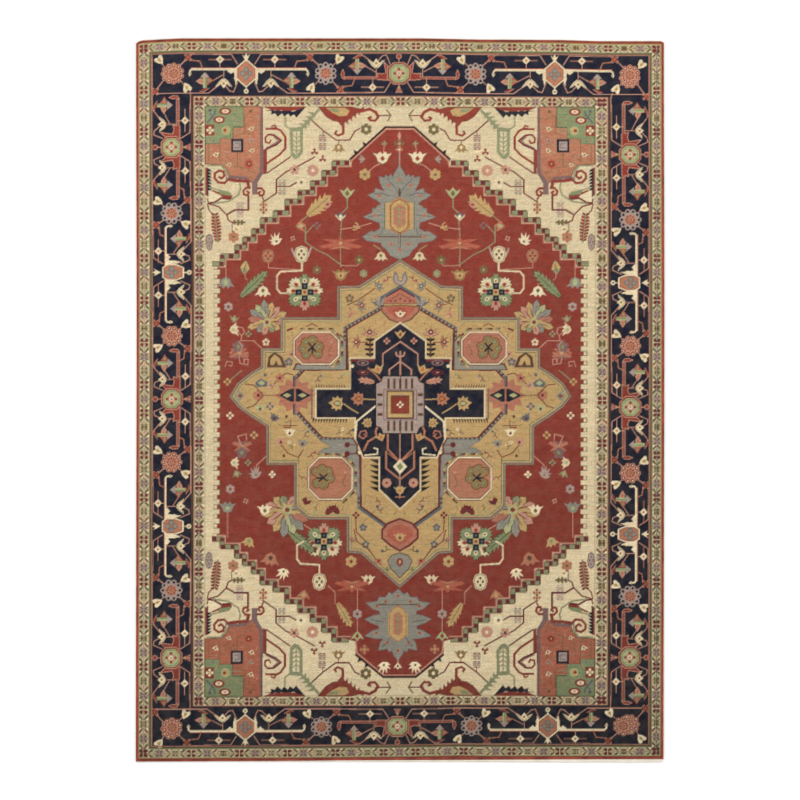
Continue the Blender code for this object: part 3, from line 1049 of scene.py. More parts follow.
def medallion_points(pen):
    """The salmon cap and fan at the inner medallion's top, and the hexagon at its foot."""
    for side in pen.halves():
        for turn, yarn in ((-70, "slate"), (-46, "blue"), (-22, "lilac"), (2, "slate"), (24, "blue")):
            side.at(9.6, 48.2, turn=turn).fill(
                yarn, (-1.0, 0.4), (-0.9, 3.0), (0.0, 5.4), (0.9, 3.0), (1.0, 0.4),
            )
    pen.fill("dusty", *both_sides([(0.0, 56.4), (8.4, 51.6), (8.6, 49.2), (0.0, 49.2)]))
    for side in pen.halves():
        side.line("brick", 0.4, (0.0, 54.2), (7.2, 50.0))
        side.line("olive", 0.4, (8.6, 49.0), (0.0, 49.0))
        for x, y in ((0.0, 51.6), (2.4, 50.6), (4.8, 50.4)):
            side.disc("maroon", x, y, 0.5)
    pen.fill("brown", *both_sides([(0.0, 48.6), (9.9, 48.0), (9.6, 45.0), (5.6, 40.8), (0.0, 38.8)]))
    pen.fill("dusty", *both_sides([(0.0, 48.2), (9.4, 47.6), (9.0, 45.2), (5.2, 41.3), (0.0, 39.4)]))
    pen.fill("coral", *both_sides([(0.0, 48.0), (7.4, 47.4), (6.4, 45.4), (3.6, 42.8), (0.0, 41.6)]))
    pen.fill("cream", *both_sides([(0.0, 45.8), (1.2, 44.6), (2.8, 45.0), (1.6, 42.8), (0.0, 42.2)]))
    pen.disc("brown", 0, 43.9, 0.6)
    for side in pen.halves():
        side.line("brick", 0.4, (0.0, 46.8), (3.4, 45.4), (2.0, 42.0))
        side.line("coral", 0.5, (1.4, 42.6), (5.4, 46.8))
    shape = both_sides([(0.0, -60.0), (6.4, -62.4), (9.6, -66.0), (9.6, -70.6), (5.0, -74.6), (0.0, -77.4)])
    pen.fill("maroon", *shape)
    pen.fill("dusty", *inset(shape, 1.0))
    pen.fill("coral", *inset(shape, 3.0))
    bell(pen.at(0, -71.6), "gold", "maroon", 3.0)
    foot = both_sides([(0.0, -78.0), (4.2, -79.4), (6.0, -82.0), (4.6, -85.6), (0.0, -90.4)])
    pen.fill("brown", *inset(foot, -0.4))
    pen.fill("blue", *foot)
    pen.disc("brick", 0, -82.6, 1.7, 2.2)
    pen.disc("gold", 0, -82.6, 0.7, 1.0)


def medallion_octagons(pen):
    """The four dusty pink octagons, their strips, and the navy lens at each side."""
    for side in pen.halves():
        side.fill(
            "brown", (31.3, 33.0), (30.3, 33.8), (27.2, 30.0), (27.2, 15.2), (54.8, 15.2), (53.2, 18.9),
            (46.0, 18.3), (31.3, 18.3),
        )
        side.fill(
            "blue", (30.9, 32.4), (30.3, 33.0), (27.7, 29.6), (27.7, 15.7), (53.8, 15.7), (52.6, 18.0),
            (46.0, 17.8), (30.9, 17.8),
        )
        wedge = (
            (40.5, -20.4), (23.8, -20.2), (21.2, -22.5), (20.5, -49.3), (22.1, -48.0), (24.1, -45.9),
            (23.9, -32.3), (26.5, -29.6), (33.3, -27.6), (41.1, -26.5), (38.4, -24.8), (34.8, -24.5),
        )
        side.fill("slate", *inset(wedge, -0.3))
        side.fill("blue", *wedge)
        for y in (-22.9, -24.0):
            side.line("lilac", 0.3, (31.6, y), (23.9, y))
        for x, y, half_width, half_height, up in (
            (42.7, 26.5, 11.5, 8.3, 1), (35.4, -40.0, 11.2, 10.8, -1),
        ):
            cut = 4.2 if up > 0 else 5.4
            shape = [(half_width, half_height - cut), (half_width - cut, half_height)]
            shape += [(-half_width + cut, half_height), (-half_width, half_height - cut)]
            shape += [(-px, -py) for px, py in shape]
            octagon = side.at(x, y)
            dots = inset(shape, -1.6)
            dashes(octagon, ("olive", "sage", "gold", "maroon"), 1.1, 1.3, *dots[1:6])
            octagon.fill("maroon", *inset(shape, -0.5))
            octagon.fill("cream", *inset(shape, -0.2))
            octagon.fill("brown", *inset(shape, 0.5))
            octagon.fill("salmon" if up < 0 else "dusty", *inset(shape, 0.8))
            clover(octagon.at(*((2.4, 0.2) if up > 0 else (4.0, 0.6)), size=0.95, turn=0 if up > 0 else 90))
            octagon.line("olive", 0.4, (-8.0, 2.4), (-6.0, -2.4), (-7.4, -4.2))
            octagon.disc("rose", -7.6, 3.0, 0.7)
        for x, y, turn in ((37.5, -58.2, 40), (31.2, -57.8, -40)):
            serrated_leaf(side.at(x, y, turn=turn), "maroon", "brick", 5.4, 4.4, 3)
        side.fill(
            "maroon", (49.9, -50.6), (47.7, -49.3), (47.1, -51.4), (44.8, -51.0), (46.0, -53.1),
            (48.6, -53.6),
        )
        lens = [(61.9, 2.3), (59.0, 3.9), (55.6, 5.6), (51.4, 5.6), (48.6, 3.9), (45.3, 2.3)]
        lens += [(x, 4.6 - y) for x, y in lens[-2:0:-1]]
        burst_points = 11
        angles = np.arange(2 * burst_points) * math.pi / burst_points
        reach = np.tile((10.2, 7.6), burst_points)
        side.fill("dusty", *zip(53.6 + reach * np.cos(angles), 2.3 + 0.9 * reach * np.sin(angles)))
        side.line("slate", 1.0, (53.6, 12.0), (53.6, -7.4))
        side.line("maroon", 0.5, (54.3, 12.0), (54.3, -7.4))
        side.fill("salmon", *inset(lens, -1.0))
        side.fill("navy", *lens)
        for x in (57.6, 49.8):
            side.fill("celadon", (x + 2.2, 2.3), (x, 3.5), (x - 2.2, 2.3), (x, 1.1))
            side.disc("gold", x, 2.3, 0.6)
        side.line("dusty", 0.8, (53.6, 6.4), (53.6, -1.8))
        side.line("maroon", 0.5, (61.9, 2.3), (70.0, 2.3))
        daisy(side.at(72.4, 2.3), "salmon", "maroon", 2.8, 6)
        side.line("maroon", 0.5, (70.0, 2.3), (74.6, 7.4), (79.0, 8.0))
        side.line("maroon", 0.5, (70.0, 2.3), (74.6, -3.0), (78.0, -4.0))
        bud(side.at(79.6, 2.0, turn=-90), "blue", "brick", 3.4)
        daisy(side.at(66.0, 7.4), "rose", "slate", 2.0)
        daisy(side.at(66.4, -3.4), "slate", "rose", 2.0)


def draw_cross(pen):
    """The navy cross in the medallion's middle, and the square grey gear at its heart."""
    cross = both_sides(CROSS)
    for side in pen.halves():
        side.line("gold", 1.4, (26.0, 7.0), (43.5, 7.0))
        for step in range(13):
            side.fill("brown", (26.4 + 1.3 * step, 6.2), (27.3 + 1.3 * step, 6.2), (27.5 + 1.3 * step, 8.4))
            side.fill(
                "ink", (26.6 + 1.4 * step, -9.4), (27.7 + 1.4 * step, -9.4), (27.8 + 1.4 * step, -12.2),
            )
        for step in range(6):
            y = -30.4 - 2.8 * step
            side.fill("ink", (10.9, y), (10.9, y - 2.4), (13.6, y - 1.0), (15.6, y + 0.4), (13.0, y))
        side.line("mauve", 0.8, (44.9, 5.8), (44.9, -9.5))
        # A dark tree stands beside the shoulder, with a red flower on it.
        barbed_leaf(side.at(15.4, 21.6), "ink", "brown", 10.0, 6.0, 4)
        small_palmette(side.at(15.6, 33.4), "rose", "maroon", 4.2)
        side.line("maroon", 0.5, (17.0, 29.4), (23.6, 29.6))
        small_palmette(side.at(21.4, 29.6, turn=-90), "dusty", "maroon", 3.6)
    pen.fill("ivory", *inset(cross, -0.4))
    pen.fill("brown", *inset(cross, 0.4))
    pen.fill("navy", *inset(cross, 0.6))
    for side in pen.halves():
        side.box("gold", 25.4, 6.0, 27.6, 15.0)
        side.line("maroon", 1.2, (13.4, 20.2), (25.2, 20.2))
        side.line("rose", 0.7, (0.0, 29.8), (8.9, 23.6), (8.9, 17.6))
        side.line("rose", 0.7, (0.0, 19.8), (5.6, 15.6), (5.6, 11.8))
        daisy(side.at(6.9, 30.2), "rose", "brick", 1.7)
        for y, yarn in ((19.0, "mauve"), (14.0, "maroon")):
            side.disc(yarn, 19.0, y, 3.2, 1.5)
            side.disc("navy", 19.0, y, 2.2, 0.8)
            side.disc("rose", 19.0, y, 1.0, 0.35)
        side.line("salmon", 0.8, (16.4, 16.4), (12.6, 13.0), (9.6, 9.4))
        side.disc("cream", 24.4, 17.4, 0.9)
        bud(side.at(10.6, 13.4, turn=-20), "gold", "orange", 3.8)
        serrated_leaf(side.at(13.4, 9.0, turn=-80), "rose", "coral", 8.4, 4.0, 3)
        side.line("gold", 0.6, (28.6, -2.1), (25.6, -4.3), (21.4, -6.8))
        side.line("gold", 0.6, (18.8, 0.4), (11.6, -0.0))
        oak_leaf(side.at(29.0, -2.1, turn=-85), "gold", "celadon")
        oak_leaf(side.at(18.4, 0.4, turn=-88, size=0.92), "salmon", "orange")
        side.line("cream", 0.9, (11.2, -2.1), (22.1, -10.9), (22.9, -20.0))
        oak_leaf(side.at(14.4, -11.5, turn=-95, size=0.7), "gold", "gold")
        side.line(
            "dusty", 0.7, (17.0, -17.2), (17.6, -15.7), (20.1, -16.1), (21.0, -18.5), (18.8, -19.7),
            (17.0, -18.3), (18.4, -17.4),
        )
        side.line("salmon", 1.0, (10.8, -11.9), (12.5, -16.1), (12.0, -18.7), (16.3, -21.2), (18.4, -25.7))
        bud(side.at(9.1, -20.8, turn=-20), "gold", "orange", 3.2)
        side.line("cream", 0.7, (18.0, -28.2), (11.6, -27.6), (11.4, -25.1), (13.3, -24.5))
        side.disc("cream", 20.5, -26.8, 1.0)
        for y in (-22.9, -27.4):
            side.disc("maroon", 26.9, y, 1.4)
            side.line("maroon", 0.5, (26.1, y), (22.1, y))
        side.line("maroon", 0.8, (23.5, -20.4), (21.8, -23.0), (22.1, -26.8), (20.5, -28.9), (19.7, -53.6))
        side.line("salmon", 0.9, (6.3, -11.1), (6.3, -25.1), (1.8, -29.8), (-0.7, -32.3))
        side.line("salmon", 0.9, (7.1, -26.2), (7.1, -34.9), (0.1, -40.4))
        daisy(side.at(6.8, -42.3), "rose", "brick", 2.4, 8)
        side.line("salmon", 0.5, (6.1, -27.2), (1.8, -30.6))
    bud(pen.at(0, 31.6), "gold", "brick", 3.2)
    trident(pen.at(0, 20.8), "rose", 3.4, 0.8)
    pen.line("rose", 0.7, (0.0, 11.8), (0.0, 20.8))
    pen.line("rose", 0.6, (0.0, -17.0), (0.0, -50.0))
    pen.fill("cream", (0.0, -30.0), (3.6, -34.0), (0.0, -38.0), (-3.6, -34.0))
    pen.fill("green", (0.0, -32.0), (1.8, -34.0), (0.0, -36.0), (-1.8, -34.0))
    bell(pen.at(0, -47.6), "gold", "orange", 3.0)
    pen.line("salmon", 0.7, (-2.4, -49.4), (2.4, -49.4))
    draw_gear(pen.at(0.0, -2.5))


def draw_gear(pen):
    """The grey gear round the red square in the cross's middle."""
    for side in pen.halves():
        shape = [
            (0.0, 14.4), (8.6, 14.4), (9.6, 11.6), (12.1, 10.6), (12.1, -10.6), (9.6, -11.6), (8.6, -14.4),
            (0.0, -14.4),
        ]
        side.fill("ink", *inset(shape, -0.5))
        side.fill("lilac", *shape)
        for up in (1, -1):
            for x in (0.0, 3.0, 6.0):
                side.box("brown", x - 0.6, min(8.2 * up, 13.4 * up), x + 0.6, max(8.2 * up, 13.4 * up))
            side.line("mauve", 0.5, (0.0, 7.6 * up), (8.4, 7.6 * up), (8.4, 0.0))
        for y in (-5.0, 0.0, 5.0):
            side.box("brown", 9.0, y - 0.7, 11.6, y + 0.7)
    pen.box("brown", -7.0, -7.2, 7.0, 7.2)
    pen.box("gold", -6.3, -6.5, 6.3, 6.5)
    pen.box("brown", -4.7, -4.7, 4.7, 4.7)
    pen.box("brick", -4.2, -4.2, 4.2, 4.2)
    daisy(pen, "cream", "navy", 1.7)


def red_ground_flowers(pen):
    """What grows on the upper half of the red ground, for one side; the other mirrors it."""
    pen.line(
        "sage", 0.5, (47.1, 94.2), (50.6, 90.8), (48.3, 88.7), (48.3, 80.5), (42.4, 76.4), (37.3, 74.1),
        (30.5, 69.1),
    )
    serrated_leaf(pen.at(47.0, 94.2, turn=50), "gold", "olive", 15.6, 8.6, 5)
    bud(pen.at(35.2, 99.6, turn=-90), "rose", "brick", 2.8)
    bud(pen.at(53.0, 88.4, turn=80), "salmon", "celadon", 3.8)
    pen.line("sage", 0.5, (44.4, 88.9), (48.2, 84.6))
    daisy(pen.at(42.4, 88.9), "mauve", "brick", 2.0)
    hand(pen.at(62.6, 79.4, turn=-20), "cream")
    pen.line("rose", 0.4, (67.4, 71.0), (67.4, 67.4), (50.6, 66.4))
    lantern(pen.at(67.4, 73.4), "salmon", "olive", "brown", 3.2, 3.6)
    for x, y in ((66.0, 73.6), (68.8, 73.6), (67.4, 75.4)):
        pen.disc("brick", x, y, 0.5)
    pen.line("lilac", 0.9, (45.4, 77.6), (46.8, 73.4), (53.8, 73.4), (55.2, 77.2))
    lantern(pen.at(50.3, 74.2), "ivory", "olive", "brown", 3.7, 4.5)
    pen.line(
        "ivory", 0.9, (50.1, 69.7), (50.1, 65.9), (61.0, 65.5), (62.8, 63.2), (62.8, 56.8), (61.0, 54.5),
        (56.0, 54.5),
    )
    daisy(pen.at(42.4, 66.4), "olive", "rose", 2.2, 6)
    field_rosette(pen.at(48.7, 55.0, size=1.02))
    pen.line("sage", 0.5, (26.9, 103.6), (26.9, 98.0), (29.6, 95.4), (30.5, 82.0), (30.3, 67.8))
    bud(pen.at(26.9, 102.8), "celadon", "olive", 4.2)
    bud(pen.at(30.3, 91.4), "slate", "cream", 3.4)
    pen.line("ivory", 0.6, (28.0, 94.0), (30.4, 91.6), (32.8, 94.0))
    pen.line("rose", 0.5, (14.6, 90.2), (21.4, 88.2), (30.4, 87.0))
    trident(pen.at(20.6, 87.6, turn=-70), "gold", 2.8, 0.7)
    lotus(pen.at(30.3, 79.6), "coral", "salmon", 11.0)
    pen.line("rose", 0.4, (30.3, 68.6), (22.0, 68.4), (20.9, 69.6))
    daisy(pen.at(20.9, 71.4), "olive", "gold", 2.4, 5)
    daisy(pen.at(18.7, 64.4), "sage", "gold", 2.0, 6)
    daisy(pen.at(17.9, 114.9), "gold", "olive", 2.9, 6)
    pen.line("rose", 0.5, (17.9, 115.0), (12.4, 119.4), (9.4, 120.6))
    bell(pen.at(30.3, 61.4), "old_gold", "brown", 4.2)
    bell(pen.at(30.3, 62.2), "gold", "brick", 2.6)
    pen.line("sage", 0.5, (9.8, 72.6), (9.8, 76.6), (13.6, 79.0))
    bell(pen.at(9.8, 75.0, turn=180), "ivory", "olive", 3.2)
    bell(pen.at(8.9, 120.6), "olive", "sage", 4.0)
    bell(pen.at(8.9, 121.2), "cream", "brick", 4.2)
    pen.line("rose", 0.4, (8.4, 126.0), (8.0, 130.0))
    daisy(pen.at(7.9, 130.6), "sage", "gold", 1.4)
    bud(pen.at(17.8, 122.8, turn=-90), "blue", "rose", 2.6)
    drop(pen.at(79.2, 67.6, turn=12), "gold", "sage", 3.6)
    pen.line("rose", 0.4, (79.2, 65.4), (79.2, 62.3), (78.0, 61.2))
    serrated_leaf(pen.at(81.6, 52.4, turn=46), "brown", "brown", 19.6, 7.0, 7)
    serrated_leaf(pen.at(81.3, 52.8, turn=46), "green", "brown", 18.6, 6.0, 7)
    pen.line("rose", 0.4, (70.4, 59.5), (70.1, 57.2))
    bell(pen.at(70.1, 57.5, turn=180), "cream", "olive", 3.8)
    pen.line("rose", 0.4, (89.0, 71.4), (89.0, 62.3))
    bell(pen.at(89.0, 62.0, turn=180), "blue", "celadon", 4.0)
    pen.disc("celadon", 89.0, 60.1, 1.2, 1.8)
    daisy(pen.at(87.7, 47.6), "lilac", "brick", 2.3, 6)
    bud(pen.at(85.1, 39.7, turn=10), "sage", "gold", 2.8)
    pen.line(
        "rose", 0.5, (85.1, 38.5), (82.9, 37.4), (80.3, 36.8), (79.6, 34.6), (80.9, 32.9), (81.4, 30.3),
        (74.9, 30.3), (70.4, 26.1),
    )
    bell(pen.at(86.5, 35.7, turn=80), "ivory", "celadon", 3.2)
    daisy(pen.at(77.5, 33.7), "sage", "brick", 1.7)
    pen.line("rose", 0.4, (86.3, 35.7), (83.4, 35.1), (80.9, 32.9))
    pen.line("dusty", 1.2, (86.8, 23.8), (85.1, 25.5), (82.6, 23.2), (77.8, 24.1))
    lotus(pen.at(82.3, 23.8), "dusty", "mauve", 5.2)
    daisy(pen.at(82.6, 27.2), "mauve", "green", 3.2, 5)
    pen.line(
        "rose", 0.5, (82.3, 30.0), (80.6, 27.5), (82.3, 21.5), (81.7, 18.7), (77.8, 18.1), (77.5, 20.7),
        (79.7, 21.0), (79.7, 19.0),
    )
    pen.line("rose", 0.4, (89.4, 17.0), (88.5, 19.8), (85.7, 19.5), (86.0, 17.3), (87.4, 17.8))
    pen.line("sage", 0.5, (80.9, 15.1), (87.7, 9.2))
    daisy(pen.at(88.2, 9.2), "gold", "brick", 1.9)
    daisy(pen.at(68.6, 29.5), "ivory", "brick", 1.9, 5)
    daisy(pen.at(86.8, -8.0), "ivory", "brick", 1.9)
    bouquet(pen.at(68.1, 39.7, turn=-8, size=1.1))


def bouquet(pen):
    """The large spray of spiky petals beside the medallion's shoulder."""
    for turn, yarn, length in (
        (96, "rose", 8.8), (72, "gold", 10.4), (48, "rose", 9.4), (24, "gold", 9.8), (0, "blue", 10.6),
        (
            -24, "celadon", 9.6,
        ), (-46, "blue", 9.8), (-70, "dusty", 9.0), (-98, "gold", 9.4), (125, "gold", 7.0),
        (-128, "blue", 6.4), (152, "sage", 5.6), (-158, "rose", 6.0),
    ):
        petal = pen.at(0, 0, turn=turn)
        outline = [
            (-0.4, 1.0), (-1.7, length * 0.5), (-1.2, length * 0.62), (-1.5, length * 0.8), (0.0, length),
        ]
        whole = [*outline, *((-x, y) for x, y in reversed(outline[:-1]))]
        petal.fill("brown", *inset(whole, -0.2))
        petal.fill(yarn, *whole)
        petal.line("maroon" if yarn in ("rose", "gold") else "slate", 0.3, (0.0, 2.0), (0.0, length * 0.7))
    for step in range(5):
        pen.at(0, 0, turn=72 * step).fill("gold", (-1.2, 0.6), (0.0, 4.2), (1.2, 0.6))
    pen.disc("celadon", 0, 0, 1.8)
    pen.disc("brick", 0, 0, 0.9)


def lower_ground_flowers(pen):
    """The lower half of the red ground, drawn the right way up, for one side."""
    field_rosette(pen.at(38.7, -72.1, turn=180, size=1.02))
    pen.line("rose", 0.5, (45.0, -66.0), (50.0, -63.0), (54.0, -64.0), (58.0, -68.0))
    serrated_leaf(pen.at(56.6, -66.0, turn=130), "brown", "brown", 18.6, 7.0, 7)
    serrated_leaf(pen.at(57.0, -66.4, turn=130), "green", "brown", 17.6, 6.0, 7)
    bouquet(pen.at(57.4, -56.0, turn=188, size=1.35))
    daisy(pen.at(65.1, -38.0), "cream", "gold", 1.8)
    hand(pen.at(73.0, -39.6, turn=-20), "lilac")
    pen.line("rose", 0.5, (67.6, -28.0), (73.4, -33.4), (73.4, -40.0))
    daisy(pen.at(24.8, -82.3), "gold", "brick", 2.9, 6)
    bell(pen.at(16.1, -93.4), "ivory", "brick", 3.4)
    lotus(pen.at(24.4, -94.8, turn=180), "coral", "salmon", 9.0)
    pen.line("rose", 0.5, (21.6, -96.4), (21.6, -118.8))
    daisy(pen.at(21.6, -109.0), "lilac", "brick", 2.4, 6)
    bud(pen.at(21.6, -118.0, turn=180), "celadon", "brick", 3.6)
    daisy(pen.at(17.9, -127.0), "salmon", "gold", 2.4)
    hand(pen.at(7.9, -133.4, turn=180), "cream")
    serrated_leaf(pen.at(31.6, -103.6, turn=150), "gold", "olive", 14.0, 5.6, 5)
    lantern(pen.at(41.0, -92.6), "ivory", "olive", "brown", 3.7, 4.5)
    pen.line(
        "ivory", 0.9, (41.0, -88.0), (41.0, -84.0), (50.6, -83.4), (52.4, -81.0), (52.4, -74.0),
        (49.0, -72.1),
    )
    pen.line("rose", 0.5, (36.6, -94.6), (33.0, -98.0), (33.0, -104.0))
    bud(pen.at(48.6, -97.0, turn=190), "salmon", "gold", 3.8)
    hand(pen.at(58.6, -86.0, turn=200), "cream")
    bell(pen.at(65.6, -78.6, turn=190), "salmon", "brown", 4.6)
    bell(pen.at(76.6, -70.6, turn=200), "gold", "green", 3.4)
    bell(pen.at(88.0, -57.0), "blue", "celadon", 4.0)
    pen.line("rose", 0.4, (88.0, -57.4), (88.0, -70.0))
    daisy(pen.at(86.6, -45.4), "lilac", "brick", 2.3, 6)
    bell(pen.at(69.0, -58.0), "cream", "olive", 3.6)
    bud(pen.at(84.0, -36.0, turn=160), "sage", "gold", 2.8)
    daisy(pen.at(77.6, -32.0), "sage", "brick", 1.7)
    bell(pen.at(86.0, -32.0, turn=90), "ivory", "celadon", 3.0)
    lotus(pen.at(80.6, -23.6, turn=180), "dusty", "mauve", 5.2)
    daisy(pen.at(80.8, -27.0), "mauve", "green", 3.0, 5)
    pen.line("rose", 0.5, (80.6, -24.0), (83.0, -18.6), (78.6, -17.4), (78.4, -20.6))
    daisy(pen.at(74.6, -18.0), "gold", "brick", 2.0)


def draw_spandrel(pen, ground):
    """One ivory corner of the field, drawn as the upper one."""
    # The red shell at the top edge, its curl and its arrow.
    shell = (
        (41.4, 149.2), (28.2, 149.2), (24.8, 149.2), (19.3, 147.9), (22.5, 146.0), (26.3, 142.8),
        (28.2, 141.5), (34.1, 142.4), (37.5, 144.5),
    )
    pen.fill("brown", *inset(shell, -0.3))
    pen.fill("brick", *shell)
    pen.fill(
        "gold", (37.5, 148.8), (28.2, 148.9), (25.6, 147.5), (26.9, 144.9), (30.8, 144.5), (34.1, 146.2),
    )
    pen.fill("sage", (36.7, 148.3), (31.6, 148.6), (30.8, 146.6), (33.7, 146.7))
    for step in range(6):
        x, y = 28.6 - 2.0 * step, 139.6 + 1.5 * step
        pen.fill("brick", (x + 1.4, y + 1.4), (x - 0.2, y - 1.0), (x - 0.4, y + 2.2))
    pen.line("brick", 1.5, (20.5, 146.9), (15.4, 148.2), (12.3, 146.6), (11.0, 144.1))
    pen.line("brick", 1.2, (11.0, 144.1), (12.6, 142.3), (15.1, 142.5), (16.0, 143.6), (14.7, 144.1))
    pen.line("maroon", 0.7, (11.0, 145.0), (4.6, 144.9))
    pen.line("olive", 0.7, (6.8, 147.8), (4.6, 145.0), (6.2, 142.2))
    pen.line("brick", 1.4, (31.6, 142.8), (28.8, 139.4), (29.0, 135.6))
    pen.line("brick", 1.1, (29.0, 135.6), (31.6, 134.7), (33.1, 135.8), (32.3, 137.0))
    # The vine below it, and what hangs from it.
    pen.line(
        "maroon", 0.7, (45.2, 142.8), (39.2, 137.3), (32.5, 132.4), (27.8, 132.4), (28.2, 132.2),
        (25.5, 132.6), (22.8, 137.1), (20.4, 138.3),
    )
    daisy(pen.at(17.2, 137.9), "olive", "cream", 2.9, 6)
    pen.line("maroon", 0.5, (39.2, 137.3), (39.2, 134.3))
    double_square(pen.at(39.4, 131.2), "mauve")
    pen.line("maroon", 0.5, (31.2, 132.4), (31.2, 129.6))
    bell(pen.at(31.2, 130.1, turn=180), "old_gold", "cream", 3.2)
    # The jagged leaf at the top edge.
    pen.fill(
        "brick", (70.0, 149.4), (47.6, 149.4), (50.3, 147.7), (57.1, 147.2), (62.2, 147.5), (65.6, 147.7),
    )
    pen.fill(
        "navy", (69.8, 147.7), (66.0, 147.7), (62.2, 147.4), (53.7, 147.1), (47.9, 149.3), (52.7, 143.8),
        (54.0, 145.5), (55.8, 144.2), (56.9, 145.9), (58.8, 144.3), (60.1, 146.0), (62.2, 144.2),
        (63.6, 146.0), (65.6, 145.4), (65.4, 147.1),
    )
    # The grey-green leaf.
    pen.line("sage", 0.8, (58.4, 144.1), (58.4, 139.8), (56.1, 138.1))
    leaf = ((56.2, 138.6), (49.4, 139.2), (49.3, 126.2), (51.6, 123.2), (53.7, 122.6), (55.8, 124.8))
    pen.fill("sage", *leaf)
    pen.fill("ivory", (54.5, 136.7), (51.0, 137.0), (50.8, 127.1), (52.7, 124.8), (54.4, 126.2))
    pen.line("sage", 0.7, (52.7, 125.4), (52.7, 136.4))
    for step in range(5):
        pen.line(
            "sage", 0.6, (50.6, 134.6 - 2.3 * step), (52.7, 133.4 - 2.3 * step), (54.6, 134.8 - 2.3 * step),
        )
    pen.line("sage", 1.4, (49.4, 139.0), (46.0, 142.8), (41.4, 147.7))
    for step in range(4):
        x, y = 48.6 - 1.5 * step, 139.6 + 2.0 * step
        pen.fill("sage", (x + 0.4, y - 0.6), (x + 3.0, y + 1.0), (x - 0.4, y + 1.0))
        pen.fill("sage", (x + 0.4, y - 0.6), (x - 0.8, y - 2.2), (x - 1.4, y + 0.4))
    # The hooks beside the palmette's panel.
    pen.line(
        "brick", 1.1, (68.2, 138.1), (62.9, 138.3), (60.7, 137.3), (58.4, 134.1), (58.4, 128.2),
        (61.5, 124.8), (68.0, 120.5),
    )
    pen.line("brick", 0.8, (62.9, 138.3), (63.7, 140.0), (65.4, 139.4))
    pen.line(
        "maroon", 1.0, (69.8, 126.8), (68.0, 127.9), (63.0, 130.1), (60.5, 132.2), (64.1, 135.0),
        (67.3, 135.2),
    )
    pen.line("brick", 0.9, (67.3, 135.2), (68.8, 133.6), (68.6, 131.3), (66.6, 130.9), (65.8, 132.4))
    pen.line("mauve", 0.6, (68.2, 128.5), (63.9, 130.5), (61.9, 132.2), (64.3, 134.1))
    pen.line("maroon", 0.7, (68.0, 115.6), (62.2, 119.4), (55.8, 123.9))
    # Vines below the panel.
    pen.line(
        "maroon", 0.7, (70.7, 104.1), (69.4, 101.2), (63.0, 105.4), (63.0, 112.2), (58.0, 116.3),
        (53.7, 118.2), (45.2, 122.8), (43.3, 123.9),
    )
    for x, y in ((43.5, 126.4), (39.4, 122.8)):
        daisy(pen.at(x, y), "brick", "maroon", 1.9, 3)
    daisy(pen.at(53.7, 117.3), "rose", "brown", 2.6, 5)
    double_square(pen.at(60.1, 108.4), "blue")
    pen.line("maroon", 0.7, (63.0, 108.8), (56.2, 108.8), (52.7, 110.9))
    daisy(pen.at(50.3, 110.9), "cream", "olive", 2.6, 6)
    daisy(pen.at(44.4, 116.9), "rose", "cream", 3.0, 8)
    pen.line("maroon", 0.9, (77.5, 104.1), (77.5, 96.9), (84.3, 96.9), (88.5, 94.4))
    double_square(pen.at(81.6, 96.9), "lilac")
    pen.line("maroon", 0.7, (88.5, 94.4), (92.8, 98.6), (97.5, 99.9), (98.3, 102.4))
    pen.line("maroon", 0.7, (88.5, 94.4), (87.7, 91.6), (85.6, 90.5), (79.2, 90.5))
    barbed_leaf(pen.at(79.2, 90.5, turn=-90), "olive", "olive", 5.6, 3.4, 3)
    pen.line("maroon", 0.5, (85.8, 90.5), (85.8, 85.9), (82.4, 86.5))
    bud(pen.at(81.8, 87.0, turn=-90), "cream", "gold", 3.0)
    daisy(pen.at(85.0, 83.1), "salmon", "olive", 2.8, 6)
    daisy(pen.at(69.8, 99.5), "salmon", "coral", 2.0)
    daisy(pen.at(69.8, 96.9), "coral", "gold", 2.0)
    pen.line("olive", 0.5, (69.8, 94.8), (69.8, 102.0))
    # The half leaf on the side edge, its red bud, and the barbed leaf under them.
    pen.box("brick", 98.2, 104.2, 99.3, 118.5)
    for step in range(9):
        y = 118.2 - 1.6 * step
        pen.fill("navy", (98.4, y), (98.4, y - 1.7), (96.0, y - 1.9), (97.0, y - 0.6))
    pen.line("sage", 0.7, (96.6, 108.0), (92.0, 106.9), (87.3, 105.8))
    pen.fill(
        "brick", (95.8, 107.1), (91.1, 105.4), (85.8, 104.7), (85.8, 102.0), (91.1, 103.5), (95.8, 104.6),
    )
    pen.fill("green", (92.8, 106.7), (86.4, 105.6), (86.2, 104.0), (92.0, 104.9))
    pen.fill("cream", (97.7, 106.7), (95.2, 106.0), (91.1, 104.0), (94.9, 101.2), (97.7, 100.1))
    pen.line("maroon", 0.9, (85.8, 102.2), (91.1, 102.9), (94.9, 100.7), (97.9, 100.3))
    pen.line("sage", 0.8, (95.3, 100.1), (87.7, 101.2), (82.4, 104.6), (81.4, 108.0), (81.8, 110.5))
    barbed_leaf(pen.at(93.0, 80.3, turn=-6), "brick", "sage", 14.6, 5.4, 9)
    pen.line("maroon", 0.6, (98.3, 99.9), (97.5, 96.7), (95.2, 94.2))
    lantern(pen.at(97.4, 80.4), "lilac", "brown", "olive", 2.0, 4.6)
    draw_palmette_panel(pen, ground)


